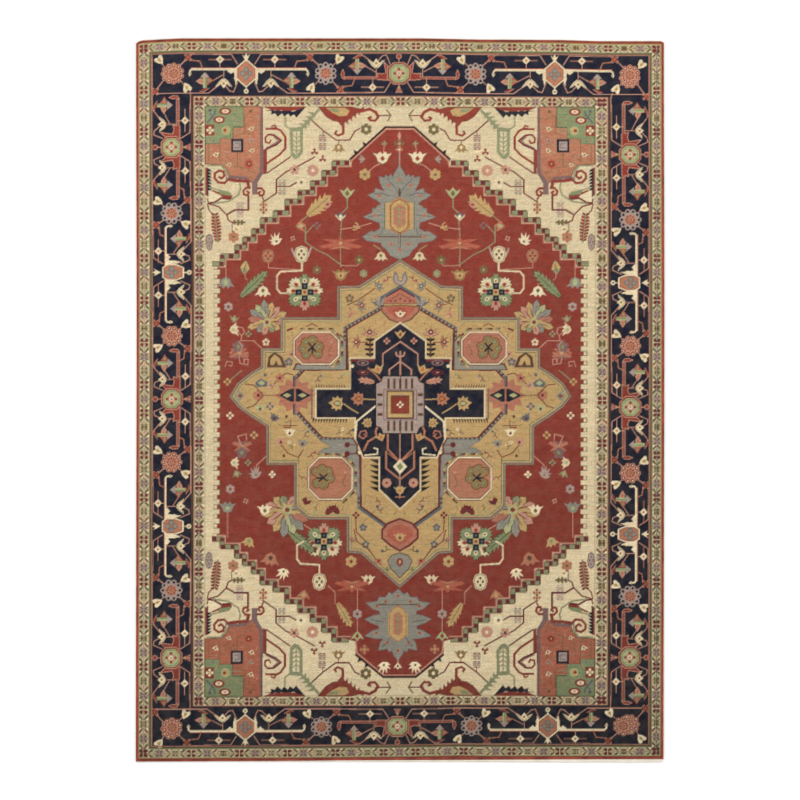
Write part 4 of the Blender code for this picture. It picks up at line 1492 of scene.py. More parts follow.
def draw_palmette_panel(pen, ground):
    """The salmon and green quarter palmette that fills the field's corner."""
    panel = [
        (99.2, 149.4), (71.4, 149.4), (71.4, 115.6), (75.0, 110.5), (79.2, 113.7), (87.3, 114.6),
        (88.1, 117.1), (90.7, 120.0), (99.2, 120.5),
    ]
    pen.fill("brown", *inset(panel, -0.4))
    pen.fill(ground, *panel)
    green = [
        (99.2, 149.4), (80.0, 149.4), (80.0, 139.2), (85.3, 139.2), (85.3, 133.3), (92.0, 133.3),
        (92.0, 130.7), (99.2, 130.7),
    ]
    pen.fill("brown", *inset(green, -0.3))
    pen.fill("green", *green)
    for step in range(6):
        pen.line("sage", 0.4, (97.0, 146.6 - 2.0 * step), (81.0, 146.6 - 2.0 * step))
    pen.fill(
        "mauve", (71.4, 149.4), (70.3, 149.4), (69.8, 126.7), (69.8, 115.6), (72.8, 110.5), (72.8, 104.6),
        (75.6, 104.6), (75.6, 110.5), (71.7, 116.0),
    )
    pen.fill("brick", (69.8, 127.1), (68.0, 127.1), (68.0, 115.6), (69.7, 114.8))
    pen.line("maroon", 0.5, (70.2, 149.2), (70.2, 127.1))
    pen.fill("navy", (86.2, 133.0), (79.9, 133.0), (79.9, 126.2), (86.2, 126.2))
    pen.fill("lilac", (85.2, 131.9), (81.1, 131.9), (81.1, 127.2), (85.2, 127.2))
    pen.line("slate", 0.4, (84.3, 130.9), (81.9, 130.9), (81.9, 128.4), (84.3, 128.4))
    for x, y, across, high in ((89.1, 147.1, 3.1, 1.9), (92.2, 142.8, 3.0, 2.0)):
        pen.disc("brick", x, y, across, high)
        pen.disc("cream", x, y, across * 0.6, high * 0.55)
        pen.disc("rose", x, y, across * 0.25, high * 0.3)
    pen.fill("brick", (99.1, 140.2), (94.7, 140.2), (94.7, 134.6), (99.1, 134.6))
    daisy(pen.at(96.9, 137.4), "cream", "gold", 1.9)
    pen.disc("celadon", 88.8, 137.4, 2.3)
    pen.disc("gold", 88.8, 137.4, 1.7)
    pen.disc("brick", 89.4, 137.4, 0.8)
    pen.line("slate", 0.9, (98.3, 141.3), (94.7, 145.4), (94.1, 147.7))
    pen.line("slate", 0.7, (96.9, 146.2), (95.3, 143.7))
    for x, y, petal, size in (
        (
            75.4, 139.0, "ivory", 2.0,
        ), (75.4, 132.8, "lilac", 1.7), (75.1, 127.9, "ivory", 1.9), (93.4, 125.8, "cream", 2.0),
        (
            86.8, 120.5, "ivory", 1.7,
        ), (94.8, 132.6, "blue", 1.5), (75.8, 147.7, "olive", 1.4), (96.6, 148.1, "slate", 1.5),
    ):
        bud(pen.at(x, y - size, turn=-20), petal, "brown", size)
    daisy(pen.at(77.1, 120.3), "coral", "gold", 2.5, 8)
    daisy(pen.at(77.1, 120.3), "brick", "gold", 1.6, 8)
    pen.line("olive", 0.35, (83.0, 126.2), (83.0, 119.0), (79.2, 118.2))
    pen.line("olive", 0.35, (92.0, 130.7), (92.0, 121.6))
    pen.line("olive", 0.35, (97.5, 130.1), (97.5, 121.6))
    pen.line("olive", 0.35, (76.7, 146.4), (79.2, 144.5), (79.2, 136.0), (84.3, 134.3))
    # Below the panel: the big scroll, the barbed strip and the two small scrolls on the stem.
    pen.line("mauve", 1.6, (87.2, 113.7), (79.2, 113.1), (76.7, 111.4))
    pen.line("brick", 1.6, (87.7, 112.4), (84.3, 111.8), (77.9, 111.4), (77.1, 108.0))
    pen.line(
        "brick", 1.2, (87.7, 112.4), (89.6, 110.5), (92.8, 110.9), (94.7, 113.1), (94.5, 115.4),
        (92.4, 116.9), (90.1, 116.3), (89.6, 114.3), (91.1, 112.9), (92.4, 113.7),
    )
    pen.line("mauve", 0.6, (87.0, 114.1), (88.7, 112.0), (88.5, 115.6))
    pen.line("sage", 0.8, (98.3, 119.4), (91.3, 119.4), (89.0, 116.6), (88.4, 114.6))
    for x, y, flip in ((78.2, 106.1, 1), (71.3, 105.9, -1)):
        pen.line(
            "brick", 1.1, (x - 1.6 * flip, y + 1.9), (x + 0.4 * flip, y + 2.0), (x + 1.9 * flip, y + 0.4),
            (x + 1.5 * flip, y - 1.4), (x - 0.2 * flip, y - 1.8), (x - 1.0 * flip, y - 0.4), (x, y + 0.3),
        )


def draw_field(plan):
    """The field: its corners, the flowers of its red ground, the pendants and the medallion."""
    pen = Pen(plan)
    left, low, right, high = zone("field_pile")
    pen.box("ivory", left, low, right, high)
    flipped = Pen(plan, np.diag([1.0, -1.0]), (0.0, 2 * FIELD_MIDDLE))
    draw_ground(pen)
    for half, ground in ((pen, "salmon"), (flipped, "terracotta")):
        for side in half.halves():
            draw_spandrel(side, ground)
    for side in pen.halves():
        red_ground_flowers(side)
        lower_ground_flowers(side)
    top_pendant(pen.at(-0.3, 0.0))  # each hangs a little off the middle, as woven
    bottom_pendant(pen.at(-0.9, 0.0))
    draw_medallion(pen)
    scatter(pen, "brick", 160, (4.0, -125.0), (88.0, 125.0), 3.8, star)
    for ground in ("salmon", "terracotta", "green"):
        scatter(pen, ground, 500, (72.0, 112.0), (98.0, 148.0), 0.8, fleck)
        scatter(pen, ground, 500, (72.0, -149.0), (98.0, -113.0), 0.8, fleck)


def draw_plan():
    """The whole rug's pattern."""
    outer = ring_edges("outer_guard")
    half_width = np.abs(outer[[0, 2]]).max()
    half_length = np.abs(outer[[1, 3]]).max()
    plan = Plan(half_width, half_length)
    draw_guard(
        plan, "outer_guard", (16, 25),
        ((0.1, "coral", 0.6), (0.55, "old_gold", 0.4), (0.9, "celadon", 0.4)),
    )
    draw_main_border(plan)
    draw_guard(plan, "inner_guard", (12, 21), ((0.2, "brown", 0.4), (0.7, "rose", 0.4)))
    draw_field(plan)
    return plan


# ---------------------------------------------------------------------------
# How the rug lies: never quite flat, nor quite square
# ---------------------------------------------------------------------------

TOP_EDGE_X = (-1.345, -1.332, -1.31, -1.22, -1.12, 0.10, 0.40, 0.82, 1.02, 1.33, 1.345)
TOP_EDGE_DROP = (0.0260, 0.0160, 0.0105, 0.0050, 0.0, 0.0, 0.0060, 0.0080, 0.0140, 0.0140, 0.0210)
BOTTOM_EDGE_X = (-1.34, -0.60, 0.0, 0.30, 0.45, 1.34)
BOTTOM_EDGE_RISE = (-0.013, -0.010, -0.004, 0.002, 0.0, 0.0)
RIPPLES = (  # waves across and along the rug, where each starts, and its height
    (0.7, 0.4, 0.3, 0.0006),
    (-0.5, 1.1, 1.9, 0.0005),
    (1.6, -0.8, 4.0, 0.0004),
    (0.3, 2.3, 2.6, 0.0003),
)
RIPPLE_PER_METRE = 2.4  # radians for one wave across or along
RISE_WITHIN = 0.9  # how far in from an end its unevenness reaches
CAD_LENGTH = 2 * max(abs(CAD_BOX[0][1]), abs(CAD_BOX[1][1]))
BAND_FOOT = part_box("end_band_bottom")[0][1]
TUCK_X = (-1.34, -1.0, -0.3, 0.2, 0.7, 1.34)
TUCKED = (0.15, 0.20, 0.45, 0.60, 0.95, 1.0)  # how much of the hem shows past the bottom band
TUCK_WAVERS = ((23, 0.05), (61, 0.04))  # how fast that changes along the edge, and how much
SWAY, SWAY_PER_METRE, SWAY_START = 0.0012, 2.1, 0.7  # the long sides waver left and right
LEAN, LEAN_FROM = 0.004, -1.0  # and lean to the left below this place


def settle(points):
    """Moves points from the flat, square CAD frame to where the woven rug really lies."""
    points = np.array(points, float)
    x, y = points[:, 0].copy(), points[:, 1].copy()
    half = CAD_LENGTH / 2
    showing = np.interp(x, TUCK_X, TUCKED)
    for pace, reach in TUCK_WAVERS:
        showing = showing + reach * np.sin(pace * x)
    y = np.where(y < BAND_FOOT, BAND_FOOT + (y - BAND_FOOT) * showing, y)
    points[:, 1] = y
    near_top = np.clip((y - half + RISE_WITHIN) / RISE_WITHIN, 0, 1) ** 2
    near_bottom = np.clip((RISE_WITHIN - half - y) / RISE_WITHIN, 0, 1) ** 2
    points[:, 1] -= np.interp(x, TOP_EDGE_X, TOP_EDGE_DROP) * near_top
    points[:, 1] += np.interp(x, BOTTOM_EDGE_X, BOTTOM_EDGE_RISE) * near_bottom
    points[:, 0] += SWAY * np.sin(SWAY_PER_METRE * y + SWAY_START) - LEAN * np.clip(LEAN_FROM - y, 0, 1)
    for across, along, start, height in RIPPLES:
        turn = across * RIPPLE_PER_METRE * x + along * RIPPLE_PER_METRE * y + start
        points[:, 2] += height * (1 + np.sin(turn))
    return points


# ---------------------------------------------------------------------------
# Meshes
# ---------------------------------------------------------------------------

random = np.random.default_rng(20)
WRAP_PITCH = 0.0042  # from one turn of the binding's yarn to the next
RINGS_PER_WRAP = 5
ROUND_STEPS = 16
WRAP_GROOVE = 0.035  # how deep the yarn's grooves are, as a share of the binding's girth
WRAP_SPREAD = 0.012  # how unlike the turns are in girth
BAKE_EDGE = 0.002  # what stays free at the edges of the square map
STRIP_EDGE = 0.02  # and at the edges of each strip on it
PLAIN_CORNER = 0.999  # where the corners of all plain faces go


def linear(colour):
    """Display colours, 0 to 255, as linear light."""
    share = np.asarray(colour, float) / 255
    return np.where(share <= 0.04045, share / 12.92, ((share + 0.055) / 1.055) ** 2.4)


def new_piece(name, points, faces, smooth, material, colours=None, corners=None):
    """An object from rows of face corners. faces is a list of whole-number arrays, one row a face."""
    mesh = bpy.data.meshes.new(name)
    loops = np.concatenate([rows.ravel() for rows in faces])
    totals = np.concatenate([np.full(len(rows), rows.shape[1]) for rows in faces])
    starts = np.concatenate([[0], np.cumsum(totals)[:-1]])
    mesh.vertices.add(len(points))
    mesh.vertices.foreach_set("co", np.ascontiguousarray(points, np.float32).ravel())
    mesh.loops.add(len(loops))
    mesh.loops.foreach_set("vertex_index", loops.astype(np.int32))
    mesh.polygons.add(len(totals))
    mesh.polygons.foreach_set("loop_start", starts.astype(np.int32))
    mesh.polygons.foreach_set("loop_total", totals.astype(np.int32))
    flags = np.concatenate([np.full(len(rows), flag) for rows, flag in zip(faces, smooth)])
    mesh.polygons.foreach_set("use_smooth", flags)
    if colours is not None:
        layer = mesh.color_attributes.new("knots", "FLOAT_COLOR", "POINT")
        full = np.ones((len(points), 4), np.float32)
        full[:, :3] = colours
        layer.data.foreach_set("color", full.ravel())
    if corners is not None:
        layer = mesh.uv_layers.new(name="OFBake")
        layer.data.foreach_set("uv", np.concatenate(corners).astype(np.float32).ravel())
    mesh.update(calc_edges=True)
    mesh.validate()
    piece = bpy.data.objects.new(name, mesh)
    bpy.context.scene.collection.objects.link(piece)
    mesh.materials.append(material)
    return piece


def slab_faces(columns, rows):
    """Faces of a slab: its top as a grid, four sides, and a bottom with points only round its rim.

    The top's points come first, row by row, then the rim's, which go round from the first corner.
    """
    grid = np.arange((columns + 1) * (rows + 1)).reshape(rows + 1, columns + 1)
    top = np.stack([grid[:-1, :-1], grid[:-1, 1:], grid[1:, 1:], grid[1:, :-1]], axis=-1).reshape(-1, 4)
    rim = np.concatenate([grid[0, :-1], grid[:-1, -1], grid[-1, :0:-1], grid[:0:-1, 0]])
    low = np.arange(len(rim)) + grid.size
    sides = np.stack([np.roll(rim, -1), rim, low, np.roll(low, -1)], axis=-1)
    turns = np.cumsum([columns, rows, columns])
    first_row = low[: turns[0] + 1]
    right = low[turns[0] : turns[1] + 1]
    last_row = low[turns[1] : turns[2] + 1][::-1]
    left = np.concatenate([low[:1], low[turns[2] :][::-1]])
    strips = np.stack([left[1:-2], left[2:-1], right[2:-1], right[1:-2]], axis=-1)
    fans = (
        np.stack([first_row[1:], first_row[:-1], np.full(columns, left[1])], axis=-1),
        [(first_row[-1], left[1], right[1])],
        np.stack([last_row[:-1], last_row[1:], np.full(columns, left[-2])], axis=-1),
        [(right[-2], left[-2], last_row[-1])],
    )
    return rim, top, sides, strips, np.concatenate(fans)


def slab(name, low, high, step, relief, material, colour_at=None, strips=1, under=False):
    """A soft slab between two corners: one fine face, its top or its underside, and a plain one."""
    low, high = np.array(low), np.array(high)
    columns = max(4, round((high[0] - low[0]) / step))
    rows = max(4, round((high[1] - low[1]) / step))
    x, y = np.meshgrid(np.linspace(low[0], high[0], columns + 1), np.linspace(low[1], high[1], rows + 1))
    rim, *faces = slab_faces(columns, rows)
    fine, plain = (low[2], high[2]) if under else (high[2], low[2])
    z = fine + relief(x, y)
    face_points = np.column_stack([x.ravel(), y.ravel(), z.ravel()])
    rim_points = face_points[rim].copy()
    rim_points[:, 2] = plain
    points = np.concatenate([face_points, rim_points])
    if under:
        faces = [rows_of_face[:, ::-1] for rows_of_face in faces]
    colours = None if colour_at is None else colour_at(points[:, 0], points[:, 1])
    corners = bake_corners(points, low, high, faces, strips)
    smooth = (True, False, False, False)
    return new_piece(name, settle(points), faces, smooth, material, colours, corners)


def wrapped_edge(name, node, material):
    """A rug's overcast side: one yarn wound round and round the edge cords."""
    low, high = (np.array(corner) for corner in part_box(node))
    middle, reach = (low + high) / 2, (high - low) / 2
    rings = round((high[1] - low[1]) / WRAP_PITCH * RINGS_PER_WRAP)
    y = np.linspace(low[1], high[1], rings + 1)
    angles = np.arange(ROUND_STEPS) * 2 * math.pi / ROUND_STEPS
    turns = rings // RINGS_PER_WRAP
    wraps = np.interp(y, np.linspace(low[1], high[1], turns), random.normal(1.0, WRAP_SPREAD, turns))
    turn = 2 * math.pi * y[:, None] / WRAP_PITCH + angles[None, :]
    girth = (1 - WRAP_GROOVE + WRAP_GROOVE * np.cos(turn)) * wraps[:, None]
    x = middle[0] + reach[0] * girth * np.cos(angles)
    z = middle[2] + reach[2] * girth * np.sin(angles)
    tube = np.stack([x, np.broadcast_to(y[:, None], x.shape), z], axis=-1).reshape(-1, 3)
    ends = np.array([[middle[0], low[1], middle[2]], [middle[0], high[1], middle[2]]])
    grid = np.arange(len(tube)).reshape(rings + 1, ROUND_STEPS)
    after = np.roll(grid, -1, axis=1)
    wall = np.stack([grid[:-1], grid[1:], after[1:], after[:-1]], axis=-1).reshape(-1, 4)
    caps = np.concatenate([
        np.stack([grid[0], after[0], np.full(ROUND_STEPS, len(tube))], axis=-1),
        np.stack([after[-1], grid[-1], np.full(ROUND_STEPS, len(tube) + 1)], axis=-1),
    ])
    points = np.concatenate([tube, ends])
    return new_piece(name, settle(points), (wall, caps), (True, False), material)


def bake_corners(points, low, high, faces, strips):
    """Where each face's corners go on a square map. A long piece is cut into strips, laid side by side."""
    length = high - low
    along = int(length[1] > length[0])
    place = (points[:, :2] - low[:2]) / length[:2]
    share, across = place[:, along], place[:, 1 - along]
    corners = []
    for number, rows in enumerate(faces):
        if number > 1:
            corners.append(np.full((rows.size, 2), PLAIN_CORNER))
            continue
        strip = np.clip(np.floor(share[rows].mean(axis=1) * strips), 0, strips - 1)[:, None]
        u = BAKE_EDGE + (1 - 2 * BAKE_EDGE) * (share[rows] * strips - strip)
        v = (strip + STRIP_EDGE + (1 - 2 * STRIP_EDGE) * across[rows]) / strips
        corners.append(np.stack([u, v], axis=-1).reshape(-1, 2))
    return corners


# ---------------------------------------------------------------------------
# Materials
# ---------------------------------------------------------------------------


class Nodes:
    """Adds nodes to one material, and joins them up."""

    def __init__(self, name):
        self.material = bpy.data.materials.new(name)
        self.material.use_nodes = True
        self.tree = self.material.node_tree
        self.shader = self.tree.nodes["Principled BSDF"]
        self.place = self.add("ShaderNodeTexCoord").outputs["Object"]

    def add(self, kind, inputs=(), **settings):
        node = self.tree.nodes.new(kind)
        for name, value in settings.items():
            setattr(node, name, value)
        for name, value in dict(inputs).items():
            if isinstance(value, bpy.types.NodeSocket):
                self.tree.links.new(value, node.inputs[name])
            else:
                node.inputs[name].default_value = value
        return node

    def scaled(self, x, y, z):
        return self.add("ShaderNodeMapping", {"Vector": self.place, "Scale": (x, y, z)}).outputs[0]

    def noise(self, vector, scale, detail, roughness=0.5):
        inputs = {"Vector": vector, "Scale": scale, "Detail": detail, "Roughness": roughness}
        return self.add("ShaderNodeTexNoise", inputs).outputs["Fac"]

    def wave(self, vector, scale, distortion, detail_scale, direction):
        inputs = {"Vector": vector, "Scale": scale, "Distortion": distortion, "Detail": 1.0}
        inputs["Detail Scale"] = detail_scale
        return self.add("ShaderNodeTexWave", inputs, bands_direction=direction).outputs["Fac"]

    def spread(self, value, low, high, start=0.0, end=1.0):
        """A value from start to end brought to between low and high."""
        inputs = {"Value": value, "From Min": start, "From Max": end, "To Min": low, "To Max": high}
        return self.add("ShaderNodeMapRange", inputs).outputs[0]

    def math(self, operation, first, second):
        return self.add("ShaderNodeMath", {0: first, 1: second}, operation=operation).outputs[0]

    def tint(self, colour, factor):
        """The colour times a grey factor."""
        return self.add("ShaderNodeVectorMath", {0: colour, 3: factor}, operation="SCALE").outputs[0]

    def blend(self, share, first, second):
        node = self.add("ShaderNodeMix", {"Factor": share}, data_type="RGBA")
        for socket, value in ((node.inputs[6], first), (node.inputs[7], second)):
            if isinstance(value, bpy.types.NodeSocket):
                self.tree.links.new(value, socket)
            else:
                socket.default_value = value
        return node.outputs[2]

    def finish(self, colour, height, depth, strength, **values):
        """Joins the colour, the bump and the shader's other values, and gives the material."""
        bump = self.add("ShaderNodeBump", {"Height": height, "Distance": depth, "Strength": strength})
        self.tree.links.new(bump.outputs[0], self.shader.inputs["Normal"])
        self.tree.links.new(colour, self.shader.inputs["Base Color"])
        for name, value in values.items():
            socket = self.shader.inputs[name]
            if isinstance(value, bpy.types.NodeSocket):
                self.tree.links.new(value, socket)
            else:
                socket.default_value = value
        return self.material


TUFT_SCALE, FIBRE_SCALE, ROW_SCALE = 290.0, 1300.0, 80.0  # of single tufts, fibres, rows of knots
WORN_TIPS = (0.36, 0.29, 0.20, 1.0)  # the dusty tan that wear brings, as linear light
WAVE_LENGTH = 0.314  # metres from crest to crest of a wave texture at scale 1


def wool_pile(name, abrash, fade):
    """Cut wool pile: the plan's colours, with dye lots, single knots, rows and fibres in them.

    abrash is how unlike the dye lots are, and fade is how much dusty wear shows.
    """
    nodes = Nodes(name)
    knots = nodes.add("ShaderNodeAttribute", attribute_name="knots").outputs["Color"]
    lots = nodes.noise(nodes.scaled(0.25, 5.0, 1.0), 1.0, 4.0, 0.6)
    cloud = nodes.noise(nodes.place, 3.5, 3.0)
    tufts = nodes.add(
        "ShaderNodeTexVoronoi", {"Vector": nodes.place, "Scale": TUFT_SCALE, "Randomness": 0.8},
    )
    tone = nodes.add("ShaderNodeSeparateColor", {"Color": tufts.outputs["Color"]}).outputs[0]
    fibre = nodes.noise(nodes.place, FIBRE_SCALE, 2.0)
    row = nodes.wave(nodes.scaled(1, 1, 0), ROW_SCALE, 1.2, 3.0, "Y")
    factor = nodes.spread(lots, 1 - abrash, 1 + abrash, 0.3, 0.7)
    # the rows darken where the bump sinks between them, which is painted shade; the other factors are
    # random tone
    for value, low, high in (
        (cloud, 0.95, 1.05), (tone, 0.86, 1.12), (fibre, 0.86, 1.14), (row, 0.94, 1.03),
    ):
        factor = nodes.math("MULTIPLY", factor, nodes.spread(value, low, high))
    colour = nodes.tint(knots, factor)
    dust = nodes.noise(nodes.place, 26.0, 4.0)
    colour = nodes.blend(nodes.spread(dust, 0.0, fade, 0.35, 0.75), colour, WORN_TIPS)
    height = nodes.math("SUBTRACT", fibre, nodes.math("MULTIPLY", tufts.outputs["Distance"], 0.9))
    height = nodes.math("ADD", height, nodes.math("MULTIPLY", row, 0.25))
    rough = nodes.spread(fibre, 0.82, 1.0)
    sheen = {"Sheen Weight": 0.12, "Sheen Roughness": 0.45, "Sheen Tint": (1.0, 0.93, 0.85, 1.0)}
    gloss = {"Roughness": rough, "Specular IOR Level": 0.18, **sheen}
    return nodes.finish(colour, height, 0.0016, 0.55, **gloss)


def spun_yarn(name, light, dark, pitch, direction, sheen=0.15):
    """Plain yarns lying side by side: the bindings, the end bands, the hems and the cords."""
    nodes = Nodes(name)
    wave = nodes.wave(nodes.place, WAVE_LENGTH / pitch, 0.6, 2.0, direction)
    lots = nodes.noise(nodes.place, 14.0, 4.0)
    fibre = nodes.noise(nodes.scaled(1, 1, 1), 1500.0, 3.0)
    share = nodes.spread(lots, 0.0, 1.0, 0.3, 0.7)
    colour = nodes.blend(share, (*linear(dark), 1), (*linear(light), 1))
    # the wave darkens the grooves between the yarns, where the bump sinks: painted shade; the fibre noise
    # is random tone
    factor = nodes.math("MULTIPLY", nodes.spread(wave, 0.72, 1.08), nodes.spread(fibre, 0.85, 1.15))
    colour = nodes.tint(colour, factor)
    height = nodes.math("ADD", wave, nodes.math("MULTIPLY", fibre, 0.3))
    rough = nodes.spread(fibre, 0.8, 0.98)
    gloss = {"Roughness": rough, "Specular IOR Level": 0.2, "Sheen Weight": sheen, "Sheen Roughness": 0.5}
    return nodes.finish(colour, height, 0.0008, 0.5, **gloss)


# ---------------------------------------------------------------------------
# The pieces
# ---------------------------------------------------------------------------

KNOT = 0.004  # metres from one knot to the next
LOT_ROWS, LOT_CELLS = 3, 50  # one skein reaches this far before the next dye lot
LOT_HUE = np.array([0.012, -0.010, -0.025])  # what a dye lot adds of red, green and blue
STREAK_CELLS = 14  # how far one length of yarn reaches along its row
STREAK_TONE, CELL_TONE, ROW_TONE, COLUMN_TONE = 0.06, 0.05, 0.02, 0.012  # how unlike they are
SHADE_MIDDLE, SHADE_LESS_UP, SHADE_MORE_RIGHT = 0.68, 0.40, 0.12  # painted shade: how much at the rug's middle, how much less of it upward, and more to the right
SHADE_STRENGTH, DARKS_FIRST = 0.42, 1.6  # the most light that the painted shade takes, and how much more of it dark yarns take
FOOT_FROM, FOOT_REACH, FOOT_SHADE = 1.35, 0.5, 0.20  # painted shade: the bottom border is darker again
PLAN = draw_plan()
YARN_LIGHT = linear(list(YARNS.values()))


def knot_sampler():
    """Gives the wool's colour at points, in metres, each a mean of the plan's cells round it, with painted
    shade darker towards the bottom and the right.
    """
    plain = YARN_LIGHT[PLAN.yarns]
    wool_and_painted_shade = (plain[:-1, :-1] + plain[1:, :-1] + plain[:-1, 1:] + plain[1:, 1:]) / 4
    rows, columns = wool_and_painted_shade.shape[:2]
    up = (PLAN.corner[1] + (np.arange(rows) + 1) / DRAWN_PER_CM) * CM
    across = (PLAN.corner[0] + (np.arange(columns) + 1) / DRAWN_PER_CM) * CM
    # painted shade: the wool darkens towards the bottom and the right, dark yarns most, and the bottom
    # border more again
    depth = SHADE_MIDDLE - SHADE_LESS_UP * up[:, None, None] + SHADE_MORE_RIGHT * across[None, :, None]
    darks = np.clip(1 - wool_and_painted_shade.mean(axis=2, keepdims=True), 0, 1) ** DARKS_FIRST
    foot = np.clip((-up - FOOT_FROM) / FOOT_REACH, 0, 1)[:, None, None]
    wool_and_painted_shade = wool_and_painted_shade * (1 - SHADE_STRENGTH * depth * darks) * (1 - FOOT_SHADE * foot)
    wool_and_painted_shade = wool_and_painted_shade * (1 + CELL_TONE * random.standard_normal((rows, columns, 1)))
    wool_and_painted_shade = wool_and_painted_shade * (1 + ROW_TONE * random.standard_normal((rows, 1, 1)))
    wool_and_painted_shade = wool_and_painted_shade * (1 + COLUMN_TONE * random.standard_normal((1, columns, 1)))
    streaks = random.standard_normal((rows, columns // STREAK_CELLS + 2))
    starts = random.integers(0, STREAK_CELLS, (rows, 1))
    along = (np.arange(columns)[None, :] + starts) // STREAK_CELLS
    wool_and_painted_shade = wool_and_painted_shade * (1 + STREAK_TONE * np.take_along_axis(streaks, along, axis=1)[:, :, None])
    lots = random.standard_normal((rows // LOT_ROWS + 1, columns // LOT_CELLS + 1))
    lots = np.repeat(np.repeat(lots, LOT_ROWS, axis=0), LOT_CELLS, axis=1)[:rows, :columns, None]
    wool_and_painted_shade = wool_and_painted_shade * (1 + lots * LOT_HUE)

    def colour_at(x, y):
        column = np.round((x / CM - PLAN.corner[0]) * DRAWN_PER_CM - 1).astype(int)
        row = np.round((y / CM - PLAN.corner[1]) * DRAWN_PER_CM - 1).astype(int)
        return wool_and_painted_shade[np.clip(row, 0, wool_and_painted_shade.shape[0] - 1), np.clip(column, 0, wool_and_painted_shade.shape[1] - 1)]

    return colour_at


KNOT_SPREAD, ROW_SPREAD = 0.00018, 0.00010  # how unlike single knots and whole rows are in height
SHEAR_DEPTH = 0.00025
PILE_SINK = 0.0004  # keeps the highest knots near the CAD pile's own top


def pile_relief(x, y):
    """Knots stand at slightly different heights, in rows, and the shears leave the pile uneven."""
    jitter = random.normal(0.0, KNOT_SPREAD, x.shape)
    rows = random.normal(0.0, ROW_SPREAD, (x.shape[0], 1))
    shears = SHEAR_DEPTH * np.sin(9.1 * x + 2.0 * np.sin(5.3 * y)) * np.sin(7.7 * y + 1.3)
    return jitter + rows + shears - PILE_SINK


colour_at = knot_sampler()
PILES = {  # each band's slot, how many strips its map has, and its wool
    "outer_guard": ("straw_wool", 7, wool_pile("outer_guard_wool", 0.04, 0.08)),
    "main_border": ("navy_wool", 3, wool_pile("border_wool", 0.05, 0.06)),
    "inner_guard": ("straw_wool", 6, wool_pile("inner_guard_wool", 0.04, 0.08)),
    "field": ("brick_wool", 1, wool_pile("field_wool", 0.06, 0.08)),
}
RIB_PITCH, RIB_HEIGHT = 0.0048, 0.00025  # of the end bands
WEAVE_PITCH, WEAVE_HEIGHT = 0.0060, 0.00012  # of the hems, over two yarns
BAND_STEP, HEM_STEP, BACK_STEP = 0.0012, 0.0015, 0.008  # how fine their meshes are


def weft_ribs(x, y):
    """The ribs of a flat weave whose wefts cover the warps, which run the rug's length."""
    ribs = RIB_HEIGHT * np.cos(2 * math.pi * x / RIB_PITCH)
    return ribs + random.normal(0.0, 0.00008, x.shape) - 0.0003


def plain_weave(x, y):
    """Cotton yarns that pass over and under each other."""
    over = np.cos(2 * math.pi * x / WEAVE_PITCH) * np.cos(2 * math.pi * y / WEAVE_PITCH)
    return WEAVE_HEIGHT * over + random.normal(0.0, 0.00004, x.shape) - 0.0002


def knotted_back(x, y):
    """The backs of the knots, which are a little uneven."""
    return random.normal(0.0, 0.00012, x.shape) + 0.0003


def ready(piece, slot, *nodes):
    """The piece moves with the rug and stands for its CAD nodes, which it hides. slot is not used."""
    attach(piece, "root")
    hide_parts(*nodes)
    return piece


for band, (slot, strips, material) in PILES.items():
    nodes = ["field_pile"] if band == "field" else [f"{band}_{side}" for side in SIDES]
    for node in nodes:
        low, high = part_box(node)
        name = f"pile_{node.removesuffix('_pile')}"
        pile = slab(name, low, high, KNOT, pile_relief, material, colour_at, strips)
        ready(pile, slot, node)

RED_YARN = spun_yarn("binding_wool", (196, 90, 66), (140, 56, 44), WRAP_PITCH, "Y")
BAND_YARN = spun_yarn("band_wool", (170, 82, 62), (116, 48, 42), RIB_PITCH, "X")
HEM_COTTON = spun_yarn("hem_cotton", (250, 243, 228), (232, 221, 200), WEAVE_PITCH / 2, "X", 0.05)
CORD_COTTON = spun_yarn("cord_cotton", (214, 202, 178), (176, 162, 136), WEAVE_PITCH / 2, "Y", 0.05)

for side in ("left", "right"):
    binding = wrapped_edge(f"overcast_{side}", f"side_binding_{side}", RED_YARN)
    ready(binding, "brick_wool", f"side_binding_{side}")
    cord = wrapped_edge(f"warp_cord_{side}", f"edge_cord_{side}", CORD_COTTON)
    ready(cord, "cotton", f"edge_cord_{side}")

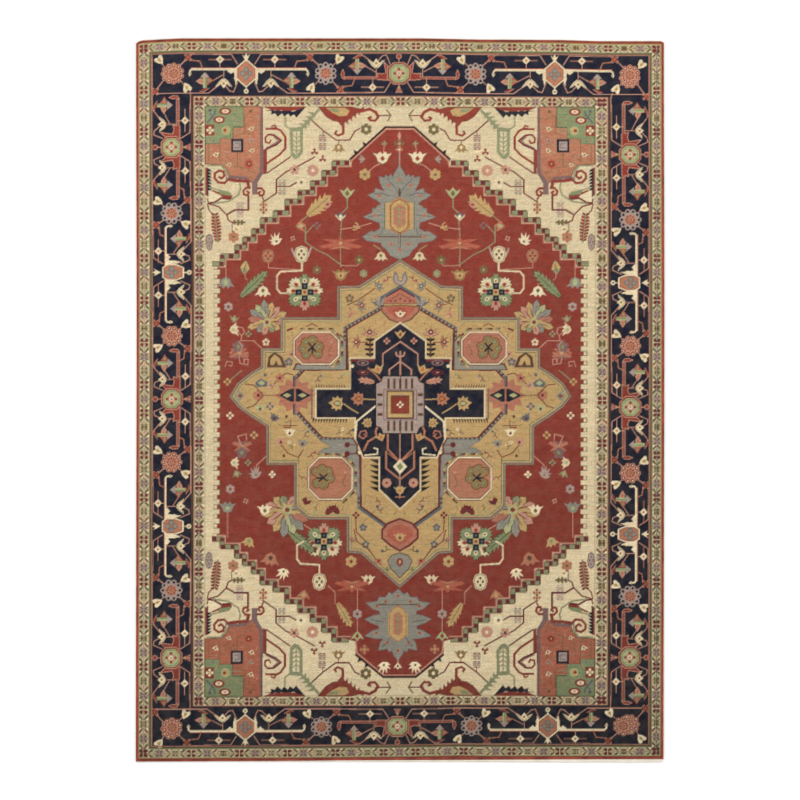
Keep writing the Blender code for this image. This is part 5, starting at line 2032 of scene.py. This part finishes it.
for end in ("top", "bottom"):
    low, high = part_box(f"end_band_{end}")
    band = slab(f"flatweave_{end}", low, high, BAND_STEP, weft_ribs, BAND_YARN)
    ready(band, "brick_wool", f"end_band_{end}")
    low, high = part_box(f"hem_{end}")
    hem = slab(f"cotton_hem_{end}", low, high, HEM_STEP, plain_weave, HEM_COTTON)
    ready(hem, "cotton", f"hem_{end}")

low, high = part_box("ground_weave")
BACK = wool_pile("knotted_back", 0.05, 0.25)
ground = slab("foundation", low, high, BACK_STEP, knotted_back, BACK, colour_at, under=True)
ready(ground, "cotton", "ground_weave")


# ---------------------------------------------------------------------------
# Floor, light and camera
# ---------------------------------------------------------------------------

FLOOR_HALF = 40.0
SKY_STRENGTH, KEY_ENERGY = 0.85, 1.15
KEY_SOFTNESS, KEY_TILT, KEY_LEAN = 40, -38, -24  # degrees
floor_nodes = Nodes("studio_floor")
speck = floor_nodes.noise(floor_nodes.place, 2.0, 2.0)
pale = floor_nodes.blend(speck, (0.93, 0.93, 0.93, 1), (0.95, 0.95, 0.95, 1))
floor_material = floor_nodes.finish(pale, speck, 0.0001, 0.1, Roughness=0.9)
floor_points = FLOOR_HALF * np.array([(-1, -1, 0), (1, -1, 0), (1, 1, 0), (-1, 1, 0)])
floor = new_piece("studio_floor", floor_points, (np.array([[0, 1, 2, 3]]),), (False,), floor_material)

world = bpy.data.worlds.new("studio")
world.use_nodes = True
world.node_tree.nodes["Background"].inputs["Color"].default_value = (1.0, 1.0, 1.0, 1.0)
world.node_tree.nodes["Background"].inputs["Strength"].default_value = SKY_STRENGTH
bpy.context.scene.world = world

key = bpy.data.objects.new("key", bpy.data.lights.new("key", "SUN"))
key.data.energy = KEY_ENERGY
key.data.angle = math.radians(KEY_SOFTNESS)
key.rotation_euler = (math.radians(KEY_TILT), math.radians(KEY_LEAN), 0)
bpy.context.scene.collection.objects.link(key)

FRAME_WIDTH = 4.08  # metres of floor across the picture
LENS = 85.0
SENSOR = 36.0
camera = bpy.data.objects.new("camera", bpy.data.cameras.new("camera"))
camera.data.lens = LENS
camera.data.sensor_width = SENSOR
camera.data.clip_end = 200.0
camera.location = (-0.001, 0.0, FRAME_WIDTH * LENS / SENSOR)
bpy.context.scene.collection.objects.link(camera)
bpy.context.scene.camera = camera
bpy.context.scene.view_settings.view_transform = "Standard"
